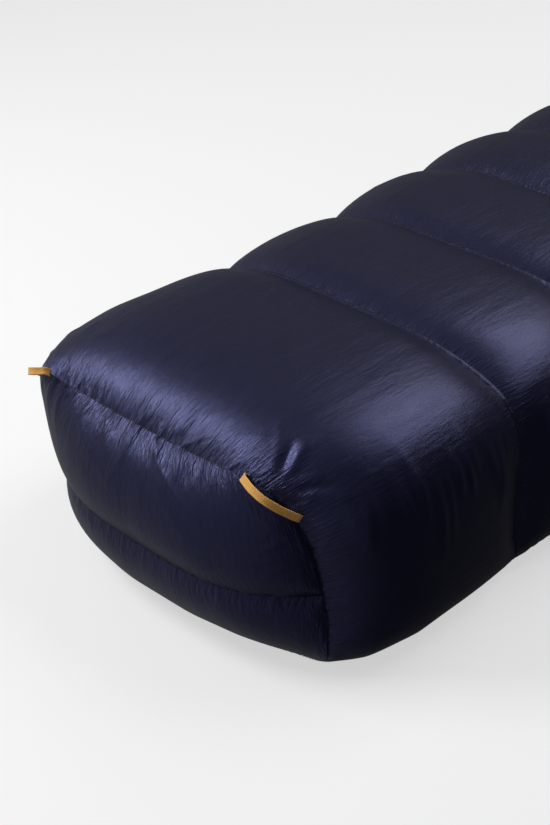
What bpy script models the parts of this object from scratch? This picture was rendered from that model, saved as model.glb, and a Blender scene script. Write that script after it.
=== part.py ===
"""Down camp quilt, lying on the ground with its long edges brought together underneath.

The quilt is a tube of sewn chambers: an outer shell and a liner with baffle walls between
them, and down in every chamber. The foot end is closed by a two-chamber end panel, the foot
box is a closed ring, and from there to the neck the two edges lie side by side with a slit
between them. +Y runs from the foot to the neck, +X to the right, +Z up from the ground.

The whole body is described on one grid: stations (s, metres from the foot end) by columns
(j, counted round the girth from the middle of the underside). Every layer is cut from that
grid at its own depth below the outer surface, so nested layers never touch.
"""
import math

import bmesh
import bpy
import numpy as np
from mathutils import Matrix, Vector

# ---- driving dimensions (metres) -------------------------------------------------------
LENGTH = 1.975            # foot end to neck hem
FOOT_SEAM = 0.065         # station of the seam round the end panel
FIRST_CHAMBER = 0.290
FIRST_STATIONS = (0.110, 0.165, 0.260)   # stations that shape the first chamber
CHAMBER_PITCH = 0.200
CHAMBER_COUNT = 9         # counted from the end panel to the neck
FOOT_BOX_CHAMBERS = 4     # chambers that are closed rings

COLUMNS = 24              # facets round the girth
GROUND_COLUMN = 4         # columns of the ground panel, each side of the middle
SIDE_SEAM_GAP = 0.01      # gap at its seam, as a share of a column
WALL = 0.031              # shell face to liner face at the middle of a chamber
SHELL_PINCH = 0.016       # how far a baffle seam pulls the shell in
LINER_PINCH = 0.006       # how far the same seam pulls the liner out
NECK_PULL = 0.5           # share of that pinch at the neck edge
FOOT_PULL = 0.35          # and at the end seam
PINCH_HEIGHT = 0.05       # height over which that pinch grows to its full depth
SHELL_CLOTH = 0.0008
LINER_CLOTH = 0.0006
BAFFLE_CLOTH = 0.0006
GAP = 0.0004              # clearance between pieces that touch on the real quilt

# girth sections: station, half width, height, corner exponent, taper towards the top
SECTIONS = (
    (0.065, 0.226, 0.206, 6.0, 0.20),
    (0.110, 0.244, 0.236, 4.2, 0.12),
    (0.165, 0.251, 0.248, 3.3, 0.07),
    (0.355, 0.253, 0.250, 3.1, 0.06),
    (0.955, 0.256, 0.250, 3.0, 0.06),
    (1.355, 0.285, 0.256, 2.8, 0.05),
    (1.655, 0.298, 0.256, 2.7, 0.05),
    (1.975, 0.272, 0.240, 2.6, 0.05),
)
WIDEST_HEIGHT = 0.40      # share of the height at which the girth is widest
FLOOR_EXPONENT = 5.0
FLOOR_PRESS = 1.05        # over 1: the underside is pressed flat against the ground
SEAM_SETBACK = 0.042      # how far the end seam runs back at the lower corners
SETBACK_REACH = 0.190     # length over which that setback dies out

PANEL_STACK = 0.030       # thickness of the end panel, skirt included
PANEL_FRONT_ROOM = 0.0016     # room between the panel's cloth and the down behind it
PANEL_CLEARANCE = 0.0024  # room behind its lining, where the end seam curves
PANEL_CENTRE = 0.095      # height of the end panel's middle
PANEL_SPLIT = 0.088       # height of the baffle inside the end panel
PANEL_RINGS = (0.0, 0.36, 0.70, 1.0)
SKIRT_CLOTH = 0.985       # inner edge of the skirt, as a share of the panel's radius
PANEL_INSET = 0.972       # edge of the down and lining inside the skirt

WEBBING = 0.008           # width of the foot loops
WEBBING_THICK = 0.0013
LOOP_STANDOFF = 0.0046    # room for the loop's root to turn in
LOOP_BOW = 0.013
LOOP_LEAN = 0.35          # how much a loop leans out past the end
LOOP_STEPS = 8
TOP_CORNER_COLUMNS = (8, 9)

HEM_WALL = 0.002          # doubled cloth of the neck hem
CORD_RADIUS = 0.0015
CORD_END_X = 0.020        # where the drawcord ends, beyond the cord lock
CORD_TAIL = 0.004         # how far the sewn end of the cord runs on inside the hem
CORD_STEP = 0.008         # run over which the free end drops to the cord lock's height
END_BEAD = (0.0032, 0.008, 0.0008)     # radius, length, edge of the bead on the cord's end
LOCK_X = 0.034
LOCK_HEIGHT = 0.0085
LOCK_SIZE = 0.0130
LOCK_LENGTH = 0.0220
LOCK_BACK = 0.0088        # from the cord to the closed end
LOCK_WALL = 0.0014
LOCK_BORE = 0.0046
LOCK_TRAVEL = 0.0035
LOCK_EDGE = 0.0012
CORD_ROOM = 0.0006        # clearance round the cord inside the lock
BUTTON_ROOM = 0.0003      # clearance of the button in its bore, and round the cord
BUTTON_PROUD = 0.005
BUTTON_INSIDE = 0.0029    # from the cord to the button's inner end
BUTTON_EDGE = 0.0006
SPRING_WIRE = 0.0004
SPRING_RADIUS = 0.0027
SPRING_ROOM = 0.0007
SPRING_TURNS = 2.5
SPRING_STEPS = 10         # points in a turn
CUT_PAST = 0.02           # how far a cutter runs past what it cuts

BINDING = 0.0010
BINDING_STARTS = 0.004    # from the end of the foot box
BINDING_STOPS = 0.002     # short of the neck
BINDING_INSET = 0.002     # how far its edges stay inside the shell's face and the liner's
TAB_THICK = 0.0012
TAB_WIDTH = 0.020
TAB_PATH = ((-0.100, 0), (-0.050, 0), (-0.020, 1), (0.104, 1))   # X, and 1 where raised
TAB_RISE = 0.0052
SNAP_X = 0.088
SNAP_STATION = 1.905
STUD_RADIUS = 0.0058
STUD_PLATE = 0.0008
STUD_FOOT = 0.0002
KNOB_RADIUS = 0.0026
KNOB_TOP = 0.0040
SOCKET_RADIUS = 0.0056
SOCKET_LIFT = 0.0012      # from the deck to the underside of the snap's socket
SOCKET_BORE = 0.0030
CAP_RADIUS = 0.0066
CAP_HEIGHT = 0.0018
CAP_EDGE = 0.0007

STRAP_HEIGHT = 0.012
STRAP_STATIONS = (1.205, 1.605)
STRAP_WIDTH = 0.015
# the buckle's blocks: low X, high X, half width, half height
BUCKLE_BODY = (-0.026, 0.006, 0.0120, 0.0045)
BUCKLE_THROAT = (-0.014, 0.010, 0.0090, 0.0026)
BUCKLE_WINDOW = (-0.010, -0.002, 0.0300, 0.0018)
BUCKLE_BODY_SLOT = (-0.0235, -0.0205, 0.0085, 0.0200)
TONGUE_BODY = (0.0066, 0.0175, 0.0115, 0.0035)
TONGUE_SLOT = (0.0125, 0.0150, 0.0085, 0.0200)
PRONG = (-0.0125, 0.0080, 0.0020)      # low X, high X, half height
PRONGS = ((-0.0068, 0.0026), (0.0, 0.0030), (0.0068, 0.0026))   # offset and width
BUCKLE_EDGE = 0.0015
WEBBING_ENDS = (-0.0262, 0.0181)       # where the left and right webbings meet the buckle

LABEL_STATION = 1.03
LABEL_WIDTH = 0.032
LABEL_THICK = 0.0004
LABEL_FALL = ((0.0, 0.012), (0.012, 0.010), (0.026, 0.004))     # reach from the edge, height

NAVY = (0.022, 0.024, 0.060)
DARK_NAVY = (0.014, 0.016, 0.038)
INK = (0.010, 0.011, 0.020)
DOWN = (0.82, 0.81, 0.78)
OCHRE = (0.72, 0.42, 0.09)
BLACK = (0.015, 0.015, 0.017)
STEEL = (0.52, 0.52, 0.54)
WHITE = (0.80, 0.80, 0.78)


# ---- scene and materials ---------------------------------------------------------------
def clear_scene():
    for item in list(bpy.data.objects):
        bpy.data.objects.remove(item, do_unlink=True)


def finish(name, colour, roughness, metallic=0.0, sheen=0.0):
    """One Principled material for one sub-part."""
    material = bpy.data.materials.new(name)
    material.use_nodes = True
    shader = material.node_tree.nodes["Principled BSDF"]
    shader.inputs["Base Color"].default_value = (*colour, 1.0)
    shader.inputs["Roughness"].default_value = roughness
    shader.inputs["Metallic"].default_value = metallic
    shader.inputs["Sheen Weight"].default_value = sheen
    return material


def add_object(name, bm, colour, roughness, metallic=0.0, sheen=0.0, smooth=True):
    """Turn a bmesh into a named object whose faces point outwards."""
    bmesh.ops.recalc_face_normals(bm, faces=bm.faces)
    mesh = bpy.data.meshes.new(name)
    bm.to_mesh(mesh)
    bm.free()
    if smooth:
        mesh.shade_smooth()
        mesh.set_sharp_from_angle(angle=math.radians(50))
    mesh.materials.append(finish(name + "_finish", colour, roughness, metallic, sheen))
    item = bpy.data.objects.new(name, mesh)
    bpy.context.scene.collection.objects.link(item)
    return item


def set_origin(item, point):
    """Move an object's origin to a joint's axis and leave its mesh where it is."""
    item.data.transform(Matrix.Translation(-Vector(point)))
    item.location = point


# ---- the girth grid --------------------------------------------------------------------
def section_values(s):
    table = np.array(SECTIONS)
    return [float(np.interp(s, table[:, 0], table[:, k])) for k in range(1, 5)]


def girth_points(s):
    """Points round the girth at equal spacing, from the middle of the underside."""
    half_width, height, corner, taper = section_values(s)
    waist = WIDEST_HEIGHT * height
    turn = np.linspace(-0.5 * math.pi, 1.5 * math.pi, 1441)
    across, up = np.cos(turn), np.sin(turn)
    power = np.where(up > 0, corner, FLOOR_EXPONENT)
    rise = np.where(up > 0, height - waist, waist * FLOOR_PRESS)
    x = half_width * np.sign(across) * np.abs(across) ** (2.0 / power)
    z = waist + rise * np.sign(up) * np.abs(up) ** (2.0 / power)
    z = np.maximum(z, 0.0)
    x = x * (1.0 - taper * z / height)
    run = np.concatenate([[0.0], np.cumsum(np.hypot(np.diff(x), np.diff(z)))])
    picks = np.linspace(0.0, run[-1], COLUMNS, endpoint=False)
    return np.column_stack([np.interp(picks, run, x), np.interp(picks, run, z)])


def inward_normals(points):
    along = np.roll(points, -1, axis=0) - np.roll(points, 1, axis=0)
    along /= np.linalg.norm(along, axis=1)[:, None]
    normals = np.column_stack([-along[:, 1], along[:, 0]])
    normals[points[:, 1] < 1e-6] = (0.0, 1.0)
    return normals


def chamber_edges():
    """Stations of the end seam, of each baffle seam and of the neck."""
    edges = [FOOT_SEAM, FOOT_SEAM + FIRST_CHAMBER]
    while len(edges) <= CHAMBER_COUNT:
        edges.append(edges[-1] + CHAMBER_PITCH)
    return edges


EDGES = chamber_edges()
NECK = EDGES[-1]


def grid_stations():
    """Seams, plus the stations that shape the chambers between them."""
    stations = [EDGES[0], *FIRST_STATIONS]
    for low, high in zip(EDGES[1:-1], EDGES[2:]):
        stations += [low, 0.5 * (low + high)]
    return stations + [NECK]


class Girth:
    """Outer surface of the quilt on the station and column grid."""

    def __init__(self):
        self.s = np.array(grid_stations())
        self.points = np.array([girth_points(s) for s in self.s])
        self.normals = np.array([inward_normals(ring) for ring in self.points])
        seams = np.array([min(abs(s - e) for e in EDGES) < 1e-9 for s in self.s])
        seam_pull = seams.astype(float)
        seam_pull[-1] = NECK_PULL
        height = self.points[:, :, 1]
        lifted = np.clip(height / PINCH_HEIGHT, 0.0, 1.0)
        self.shell_depth = SHELL_PINCH * seam_pull[:, None] * lifted
        self.shell_depth[0] *= FOOT_PULL
        self.liner_depth = WALL - LINER_PINCH * seam_pull[:, None] * np.ones_like(height)
        half = np.abs(self.points[:, :, 0]) / np.abs(self.points[:, :, 0]).max(axis=1)[:, None]
        low = 1.0 - np.clip(height / height.max(axis=1)[:, None], 0.0, 1.0)
        fade = np.clip(1.0 - (self.s - FOOT_SEAM) / SETBACK_REACH, 0.0, 1.0)[:, None]
        self.setback = SEAM_SETBACK * half**3 * np.sqrt(low) * fade

    def at_station(self, k, j, depth, from_liner=False):
        base = self.liner_depth[k, j] if from_liner else self.shell_depth[k, j]
        x, z = self.points[k, j] + self.normals[k, j] * (base + depth)
        return Vector((x, self.s[k] + self.setback[k, j] - 0.5 * LENGTH, z))

    def at(self, s, j, depth, from_liner=False):
        """Point of column j at any station; beyond the grid the last facet is carried on."""
        k = int(np.clip(np.searchsorted(self.s, s, side="right") - 1, 0, len(self.s) - 2))
        t = (s - self.s[k]) / (self.s[k + 1] - self.s[k])
        column = math.floor(j)
        corners = []
        for near in (column % COLUMNS, (column + 1) % COLUMNS):
            low = self.at_station(k, near, depth, from_liner)
            corners.append(low.lerp(self.at_station(k + 1, near, depth, from_liner), t))
        return corners[0].lerp(corners[1], j - column)


girth = Girth()


def is_open(s, j):
    """True where the slit leaves out the two facets beside the middle of the underside."""
    return s > EDGES[FOOT_BOX_CHAMBERS] + 0.001 and not 1 < j % COLUMNS < COLUMNS - 1


def stations_between(low, high):
    inner = [s for s in girth.s if low + 1e-6 < s < high - 1e-6]
    return [low] + inner + [high]


def layer(stations, outer, inner, columns=None):
    """Closed body between two skins; outer and inner are (depth, measured from the liner).
    columns is a row of column positions, or None for the whole girth."""
    closed = columns is None
    columns = list(range(COLUMNS)) if closed else list(columns)
    width = len(columns)
    after = columns[1:] + ([COLUMNS] if closed else [])
    middles = [0.5 * (low + high) for low, high in zip(columns, after)]
    bm = bmesh.new()
    skins = [{}, {}]
    cells = {
        (i, c)
        for i in range(len(stations) - 1)
        for c, middle in enumerate(middles)
        if not is_open(0.5 * (stations[i] + stations[i + 1]), middle)
    }

    def corner(skin, i, c):
        key = (i, c % width)
        if key not in skins[skin]:
            depth, from_liner = (outer, inner)[skin]
            point = girth.at(stations[i], columns[c % width], depth, from_liner)
            skins[skin][key] = bm.verts.new(point)
        return skins[skin][key]

    for i, c in sorted(cells):
        around = [(i, c), (i + 1, c), (i + 1, c + 1), (i, c + 1)]
        start = 0 if middles[c] % COLUMNS < COLUMNS // 2 else 1
        order = around[start:] + around[:start]
        for skin in (0, 1):
            p, q, r, t = (corner(skin, *key) for key in order)
            bm.faces.new((p, q, r))
            bm.faces.new((p, r, t))
        before, behind = c - 1, c + 1
        if closed:
            before, behind = before % COLUMNS, behind % COLUMNS
        sides = {
            (i - 1, c): (around[0], around[3]),
            (i + 1, c): (around[1], around[2]),
            (i, before): (around[0], around[1]),
            (i, behind): (around[3], around[2]),
        }
        for neighbour, (p, q) in sides.items():
            if neighbour not in cells:
                bm.faces.new((corner(0, *p), corner(0, *q), corner(1, *q), corner(1, *p)))
    return bm


# ---- the quilt body --------------------------------------------------------------------
FILL_OUTER = (SHELL_CLOTH + GAP, False)
FILL_INNER = (-LINER_CLOTH - GAP, True)


def build_cloth():
    """Upper shell and ground panel, sewn to each other low on the sides, and the liner."""
    stations = stations_between(FOOT_SEAM + 2 * GAP, NECK)
    step = SIDE_SEAM_GAP
    upper_columns = [GROUND_COLUMN + step, *range(GROUND_COLUMN + 1, COLUMNS - GROUND_COLUMN)]
    upper_columns.append(COLUMNS - GROUND_COLUMN - step)
    shell = layer(stations, (0.0, False), (SHELL_CLOTH, False), upper_columns)
    add_object("shell_upper", shell, NAVY, 0.34, sheen=0.25)
    ground_columns = range(-GROUND_COLUMN, GROUND_COLUMN + 1)
    ground = layer(stations, (0.0, False), (SHELL_CLOTH, False), ground_columns)
    add_object("shell_ground_panel", ground, NAVY, 0.40, sheen=0.2)
    liner = layer(stations, (-LINER_CLOTH, True), (0.0, True))
    add_object("liner", liner, DARK_NAVY, 0.55, sheen=0.15)


def build_chambers():
    trim = 0.5 * BAFFLE_CLOTH + GAP
    for number, (low, high) in enumerate(zip(EDGES[:-1], EDGES[1:]), start=1):
        start = low + (2 * GAP if number == 1 else trim)
        end = high - (0.0 if number == CHAMBER_COUNT else trim)
        fill = layer(stations_between(start, end), FILL_OUTER, FILL_INNER)
        add_object(f"down_fill_{number:02d}", fill, DOWN, 0.95)


def build_baffle_walls():
    """One mesh wall at each seam between two chambers."""
    for number, seam in enumerate(EDGES[1:-1], start=1):
        faces = [seam - 0.5 * BAFFLE_CLOTH, seam + 0.5 * BAFFLE_CLOTH]
        wall = layer(faces, FILL_OUTER, FILL_INNER)
        add_object(f"baffle_wall_{number:02d}", wall, INK, 0.80)


# ---- the end panel ---------------------------------------------------------------------
def panel_point(radius, j, back, inset=1.0):
    """Point of the end panel; back is the distance behind its bulging front face."""
    rim = girth.at_station(0, j % COLUMNS, 0.0)
    x = rim.x * radius * inset
    z = PANEL_CENTRE + (rim.z - PANEL_CENTRE) * radius * inset
    rim_front = rim.y + 0.5 * LENGTH - PANEL_STACK
    return Vector((x, rim_front * radius**2 + back - 0.5 * LENGTH, max(z, 0.0)))


def skin_rings(bm, back, inset):
    """Rings of one skin from the centre outwards; the first is a single point."""
    rings = [[bm.verts.new(panel_point(0.0, 0, back, inset))]]
    for radius in PANEL_RINGS[1:]:
        rings.append([bm.verts.new(panel_point(radius, j, back, inset)) for j in range(COLUMNS)])
    return rings


def join_rings(bm, rings):
    for low, high in zip(rings[:-1], rings[1:]):
        for j in range(COLUMNS):
            n = (j + 1) % COLUMNS
            if len(low) == 1:
                bm.faces.new((low[0], high[j], high[n]))
            else:
                bm.faces.new((low[j], high[j], high[n]))
                bm.faces.new((low[j], high[n], low[n]))


def panel_disc(front, back, inset=PANEL_INSET):
    """Closed disc between two skins that are parallel along Y."""
    bm = bmesh.new()
    near, far = skin_rings(bm, front, inset), skin_rings(bm, back, inset)
    join_rings(bm, near)
    join_rings(bm, far)
    join_rings(bm, [near[-1], far[-1]])
    return bm


def cut_disc(bm, height, keep_above):
    """Keep the part of a closed disc above or below a height, and close the cut."""
    normal = (0.0, 0.0, -1.0 if keep_above else 1.0)
    geometry = list(bm.verts) + list(bm.edges) + list(bm.faces)
    cut = bmesh.ops.bisect_plane(
        bm, geom=geometry, plane_co=(0.0, 0.0, height), plane_no=normal, clear_outer=True
    )
    rim = [e for e in cut["geom_cut"] if isinstance(e, bmesh.types.BMEdge)]
    bmesh.ops.contextual_create(bm, geom=rim)
    return bm


def build_end_panel():
    """Outer panel with a skirt back to the end seam, two down chambers, a baffle, a lining."""
    bm = bmesh.new()
    face = skin_rings(bm, 0.0, 1.0)
    inside = skin_rings(bm, SHELL_CLOTH, SKIRT_CLOTH)
    end = PANEL_STACK - 2 * GAP
    edge = [bm.verts.new(panel_point(1.0, j, end, 1.0)) for j in range(COLUMNS)]
    lip = [bm.verts.new(panel_point(1.0, j, end, SKIRT_CLOTH)) for j in range(COLUMNS)]
    join_rings(bm, face + [edge, lip, inside[-1]])
    join_rings(bm, inside)
    add_object("foot_end_panel", bm, NAVY, 0.34, sheen=0.25)

    front = SHELL_CLOTH + PANEL_FRONT_ROOM
    back = PANEL_STACK - PANEL_CLEARANCE - LINER_CLOTH - GAP
    half = 0.5 * BAFFLE_CLOTH
    lower = cut_disc(panel_disc(front, back), PANEL_SPLIT - half - GAP, False)
    add_object("foot_end_fill_lower", lower, DOWN, 0.95)
    upper = cut_disc(panel_disc(front, back), PANEL_SPLIT + half + GAP, True)
    add_object("foot_end_fill_upper", upper, DOWN, 0.95)
    wall = cut_disc(panel_disc(front, back), PANEL_SPLIT + half, False)
    add_object("foot_end_baffle", cut_disc(wall, PANEL_SPLIT - half, True), INK, 0.80)
    lining = panel_disc(back + GAP, back + GAP + LINER_CLOTH)
    add_object("foot_end_liner", lining, DARK_NAVY, 0.55, sheen=0.15)


# ---- sewn edges ------------------------------------------------------------------------
def sweep(sections):
    """Closed body through a row of equal polygons, with flat ends."""
    bm = bmesh.new()
    rows = [[bm.verts.new(p) for p in section] for section in sections]
    count = len(rows[0])
    for low, high in zip(rows[:-1], rows[1:]):
        for k in range(count):
            n = (k + 1) % count
            bm.faces.new((low[k], low[n], high[n]))
            bm.faces.new((low[k], high[n], high[k]))
    bm.faces.new(rows[0][::-1])
    bm.faces.new(rows[-1])
    return bm


def build_edge_bindings():
    """A folded tape along each long edge, seen as one strip across the wall's thickness."""
    start = EDGES[FOOT_BOX_CHAMBERS] + BINDING_STARTS
    stations = stations_between(start, NECK - BINDING_STOPS)
    for side, column, outwards in (("right", 1, -1.0), ("left", COLUMNS - 1, 1.0)):
        sections = []
        for s in stations:
            low = girth.at(s, column, BINDING_INSET)
            high = girth.at(s, column, -BINDING_INSET, True)
            near = Vector((outwards * GAP, 0.0, 0.0))
            far = Vector((outwards * (GAP + BINDING), 0.0, 0.0))
            sections.append([low + near, high + near, high + far, low + far])
        add_object(f"edge_binding_{side}", sweep(sections), INK, 0.6)


def hem_corners(j, wall):
    """Section of the neck hem at one column; wall is the cloth thickness taken off."""
    low, high = NECK + GAP + wall, LENGTH - wall
    return [
        girth.at(low, j, wall),
        girth.at(high, j, wall),
        girth.at(high, j, -wall, True),
        girth.at(low, j, -wall, True),
    ]


def build_neck_hem():
    """Open-ended cloth channel round the neck, with the slit's gap left in it."""
    bm = bmesh.new()
    skins = []
    for wall in (0.0, HEM_WALL):
        rows = [[bm.verts.new(p) for p in hem_corners(j, wall)] for j in range(1, COLUMNS)]
        for low, high in zip(rows[:-1], rows[1:]):
            for k in range(4):
                n = (k + 1) % 4
                bm.faces.new((low[k], low[n], high[n]))
                bm.faces.new((low[k], high[n], high[k]))
        skins.append(rows)
    for end in (0, -1):
        outer, inner = skins[0][end], skins[1][end]
        for k in range(4):
            n = (k + 1) % 4
            bm.faces.new((outer[k], outer[n], inner[n], inner[k]))
    add_object("neck_hem", bm, NAVY, 0.45, sheen=0.2)


def ring_about(centre, along, radius, sides):
    """Points of a regular polygon round a line."""
    along = along.normalized()
    lengthwise = abs(along.y) > 0.9
    aside = along.orthogonal() if lengthwise else along.cross((0.0, 1.0, 0.0))
    aside.normalize()
    lift = along.cross(aside)
    turns = [2.0 * math.pi * k / sides for k in range(sides)]
    return [centre + radius * (math.cos(a) * aside + math.sin(a) * lift) for a in turns]


def tube(points, radius, sides):
    rows = []
    for k, point in enumerate(points):
        before, after = points[max(k - 1, 0)], points[min(k + 1, len(points) - 1)]
        rows.append(ring_about(point, after - before, radius, sides))
    return sweep(rows)


def hem_middle(j):
    corners = hem_corners(j, 0.0)
    return (corners[0] + corners[1] + corners[2] + corners[3]) / 4.0


def build_drawcord():
    """Elastic cord held in the hem; its free end passes through the cord lock to a stop."""
    end = hem_middle(COLUMNS - 1) + Vector((-CORD_TAIL, 0.0, 0.0))
    path = [end] + [hem_middle(j) for j in range(COLUMNS - 2, 1, -1)]
    mouth = hem_middle(1)
    path += [mouth, mouth + Vector((-CORD_STEP, 0.0, LOCK_HEIGHT - mouth.z))]
    path.append(Vector((CORD_END_X, mouth.y, LOCK_HEIGHT)))
    add_object("neck_drawcord", tube(path, CORD_RADIUS, 6), BLACK, 0.7)
    radius, length, edge = END_BEAD
    bead = [Vector((CORD_END_X - GAP - k * length, mouth.y, LOCK_HEIGHT)) for k in (0, 1)]
    stop = add_object("neck_cord_end", tube(bead, radius, 12), BLACK, 0.4, smooth=False)
    bevel(stop, edge)
    return mouth.y


# ---- small hardware --------------------------------------------------------------------
def block(low, high):
    """Box between two corners."""
    bm = bmesh.new()
    bmesh.ops.create_cube(bm, size=1.0)
    low, high = Vector(low), Vector(high)
    for vertex in bm.verts:
        half = vertex.co + Vector((0.5, 0.5, 0.5))
        vertex.co = Vector([low[k] + (high[k] - low[k]) * half[k] for k in range(3)])
    return bm


def bevel(item, width, segments=1):
    edge = item.modifiers.new("edge", "BEVEL")
    edge.width = width
    edge.segments = segments
    edge.limit_method = "ANGLE"
    edge.angle_limit = math.radians(50)


def cut_away(item, name, bm):
    """Boolean difference with a hidden cutter."""
    bmesh.ops.recalc_face_normals(bm, faces=bm.faces)
    mesh = bpy.data.meshes.new(name)
    bm.to_mesh(mesh)
    bm.free()
    cutter = bpy.data.objects.new(name, mesh)
    bpy.context.scene.collection.objects.link(cutter)
    cutter.hide_render = True
    cutter.display_type = "WIRE"
    cut = item.modifiers.new(name, "BOOLEAN")
    cut.operation = "DIFFERENCE"
    cut.solver = "EXACT"
    cut.object = cutter


def union(item, name, bm):
    """Join a hidden body to an object."""
    cut_away(item, name, bm)
    item.modifiers[-1].operation = "UNION"


def build_cord_lock(y):
    """Spring lock on the drawcord. Its button slides along Y and pinches the cord."""
    x, z = LOCK_X, LOCK_HEIGHT
    half = 0.5 * LOCK_SIZE
    low = (x - half, y - LOCK_LENGTH + LOCK_BACK, z - half)
    high = (x + half, y + LOCK_BACK, z + half)
    body = add_object("neck_cord_lock_body", block(low, high), BLACK, 0.4, smooth=False)
    bevel(body, LOCK_EDGE)
    bore = [Vector((x, low[1] - CUT_PAST, z)), Vector((x, high[1] - LOCK_WALL, z))]
    cut_away(body, "cut_lock_bore", tube(bore, LOCK_BORE, 16))
    cord = [Vector((x - CUT_PAST, y, z)), Vector((x + CUT_PAST, y, z))]
    cut_away(body, "cut_lock_cord", tube(cord, CORD_RADIUS + CORD_ROOM, 12))

    inner_end = y + BUTTON_INSIDE
    button_path = [Vector((x, low[1] - BUTTON_PROUD, z)), Vector((x, inner_end, z))]
    bm = tube(button_path, LOCK_BORE - BUTTON_ROOM, 16)
    button = add_object("neck_cord_lock_button", bm, BLACK, 0.35, smooth=False)
    bevel(button, BUTTON_EDGE)
    reach = CORD_RADIUS + BUTTON_ROOM
    slot_low = (x - CUT_PAST, y - reach - LOCK_TRAVEL, z - reach)
    slot_high = (x + CUT_PAST, y + reach, z + reach)
    cut_away(button, "cut_button_slot", block(slot_low, slot_high))
    set_origin(button, (x, y, z))

    start, end = inner_end + SPRING_ROOM, high[1] - LOCK_WALL - SPRING_ROOM
    coil = []
    for k in range(int(SPRING_TURNS * SPRING_STEPS) + 1):
        share = k / (SPRING_TURNS * SPRING_STEPS)
        angle = 2.0 * math.pi * SPRING_TURNS * share
        out = Vector((math.cos(angle), 0.0, math.sin(angle))) * SPRING_RADIUS
        coil.append(Vector((x, start + (end - start) * share, z)) + out)
    rows = []
    for point in coil:
        out = (point - Vector((x, point.y, z))).normalized()
        side = Vector((0.0, 1.0, 0.0))
        around = [math.radians(45 + 90 * n) for n in range(4)]
        rows.append([
            point + SPRING_WIRE * (math.cos(a) * out + math.sin(a) * side) for a in around
        ])
    add_object("neck_cord_lock_spring", sweep(rows), STEEL, 0.3, metallic=1.0)


def ribbon(path, width, thickness):
    """Flat webbing along a path in the XZ plane, as wide as stated along Y."""
    rows = []
    for k, point in enumerate(path):
        before, after = path[max(k - 1, 0)], path[min(k + 1, len(path) - 1)]
        along = (after - before).normalized()
        lift = Vector((-along.z, 0.0, along.x)) * 0.5 * thickness
        aside = Vector((0.0, 0.5 * width, 0.0))
        rows.append([
            point - aside - lift, point + aside - lift, point + aside + lift, point - aside + lift
        ])
    return sweep(rows)


def disc(centre, radius, height, sides=20):
    base = Vector(centre)
    return tube([base, base + Vector((0.0, 0.0, height))], radius, sides)


def build_neck_snap():
    """Webbing tab over the slit at the neck, pressed onto a stud on the other edge."""
    y = SNAP_STATION - 0.5 * LENGTH
    deck = max(girth.at(SNAP_STATION + d, j, 0.0, True).z for d in (-0.01, 0.01) for j in (1, 2))
    low = deck + GAP
    raised = low + TAB_RISE
    path = [Vector((x, y, low + TAB_RISE * up + 0.5 * TAB_THICK)) for x, up in TAB_PATH]
    tab = ribbon(path, TAB_WIDTH, TAB_THICK)
    add_object("neck_snap_tab", tab, BLACK, 0.8, smooth=False)
    plate = disc((SNAP_X, y, low), STUD_RADIUS, STUD_PLATE)
    stud = add_object("neck_snap_stud", plate, STEEL, 0.3, 1.0)
    knob = disc((SNAP_X, y, low + STUD_FOOT), KNOB_RADIUS, KNOB_TOP - STUD_FOOT)
    union(stud, "stud_knob", knob)
    ring = disc((SNAP_X, y, low + SOCKET_LIFT), SOCKET_RADIUS, TAB_RISE - SOCKET_LIFT - GAP)
    socket = add_object("neck_snap_socket", ring, STEEL, 0.3, 1.0)
    cut_away(socket, "cut_socket", disc((SNAP_X, y, low), SOCKET_BORE, CUT_PAST))
    top = raised + TAB_THICK + GAP
    disc_top = disc((SNAP_X, y, top), CAP_RADIUS, CAP_HEIGHT, 24)
    cap = add_object("neck_snap_cap", disc_top, BLACK, 0.35)
    bevel(cap, CAP_EDGE, 2)
    for item in (socket, cap):
        set_origin(item, (SNAP_X, y, low))


def buckle_block(sizes, y, aside=0.0):
    """Box of the buckle: low X, high X, half width and half height, about the strap's middle."""
    low_x, high_x, half_width, half_height = sizes
    return block(
        (low_x, y + aside - half_width, STRAP_HEIGHT - half_height),
        (high_x, y + aside + half_width, STRAP_HEIGHT + half_height),
    )


def build_ground_strap(number, station):
    """Two short webbings across the slit, joined by a side-release buckle."""
    y = station - 0.5 * LENGTH
    right = girth.at(station, 1, 0.0).x - 3 * GAP - BINDING
    name = f"ground_strap_{number}"

    socket = buckle_block(BUCKLE_BODY, y)
    female = add_object(f"{name}_buckle_socket", socket, BLACK, 0.42, smooth=False)
    bevel(female, BUCKLE_EDGE)
    cut_away(female, f"cut_throat_{number}", buckle_block(BUCKLE_THROAT, y))
    cut_away(female, f"cut_window_{number}", buckle_block(BUCKLE_WINDOW, y))
    cut_away(female, f"cut_bar_{number}", buckle_block(BUCKLE_BODY_SLOT, y))

    tongue = buckle_block(TONGUE_BODY, y)
    male = add_object(f"{name}_buckle_tongue", tongue, BLACK, 0.42, smooth=False)
    low_x, high_x, half_height = PRONG
    for k, (offset, wide) in enumerate(PRONGS, start=1):
        prong = buckle_block((low_x, high_x, 0.5 * wide, half_height), y, offset)
        union(male, f"prong_{number}_{k}", prong)
    cut_away(male, f"cut_eye_{number}", buckle_block(TONGUE_SLOT, y))
    set_origin(male, (TONGUE_BODY[0], y, STRAP_HEIGHT))

    left_end, right_end = WEBBING_ENDS
    for side, start, end in (("left", -right, left_end), ("right", right_end, right)):
        path = [Vector((x, y, STRAP_HEIGHT)) for x in (start, 0.5 * (start + end), end)]
        webbing = ribbon(path, STRAP_WIDTH, TAB_THICK)
        add_object(f"{name}_webbing_{side}", webbing, BLACK, 0.85, smooth=False)


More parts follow.
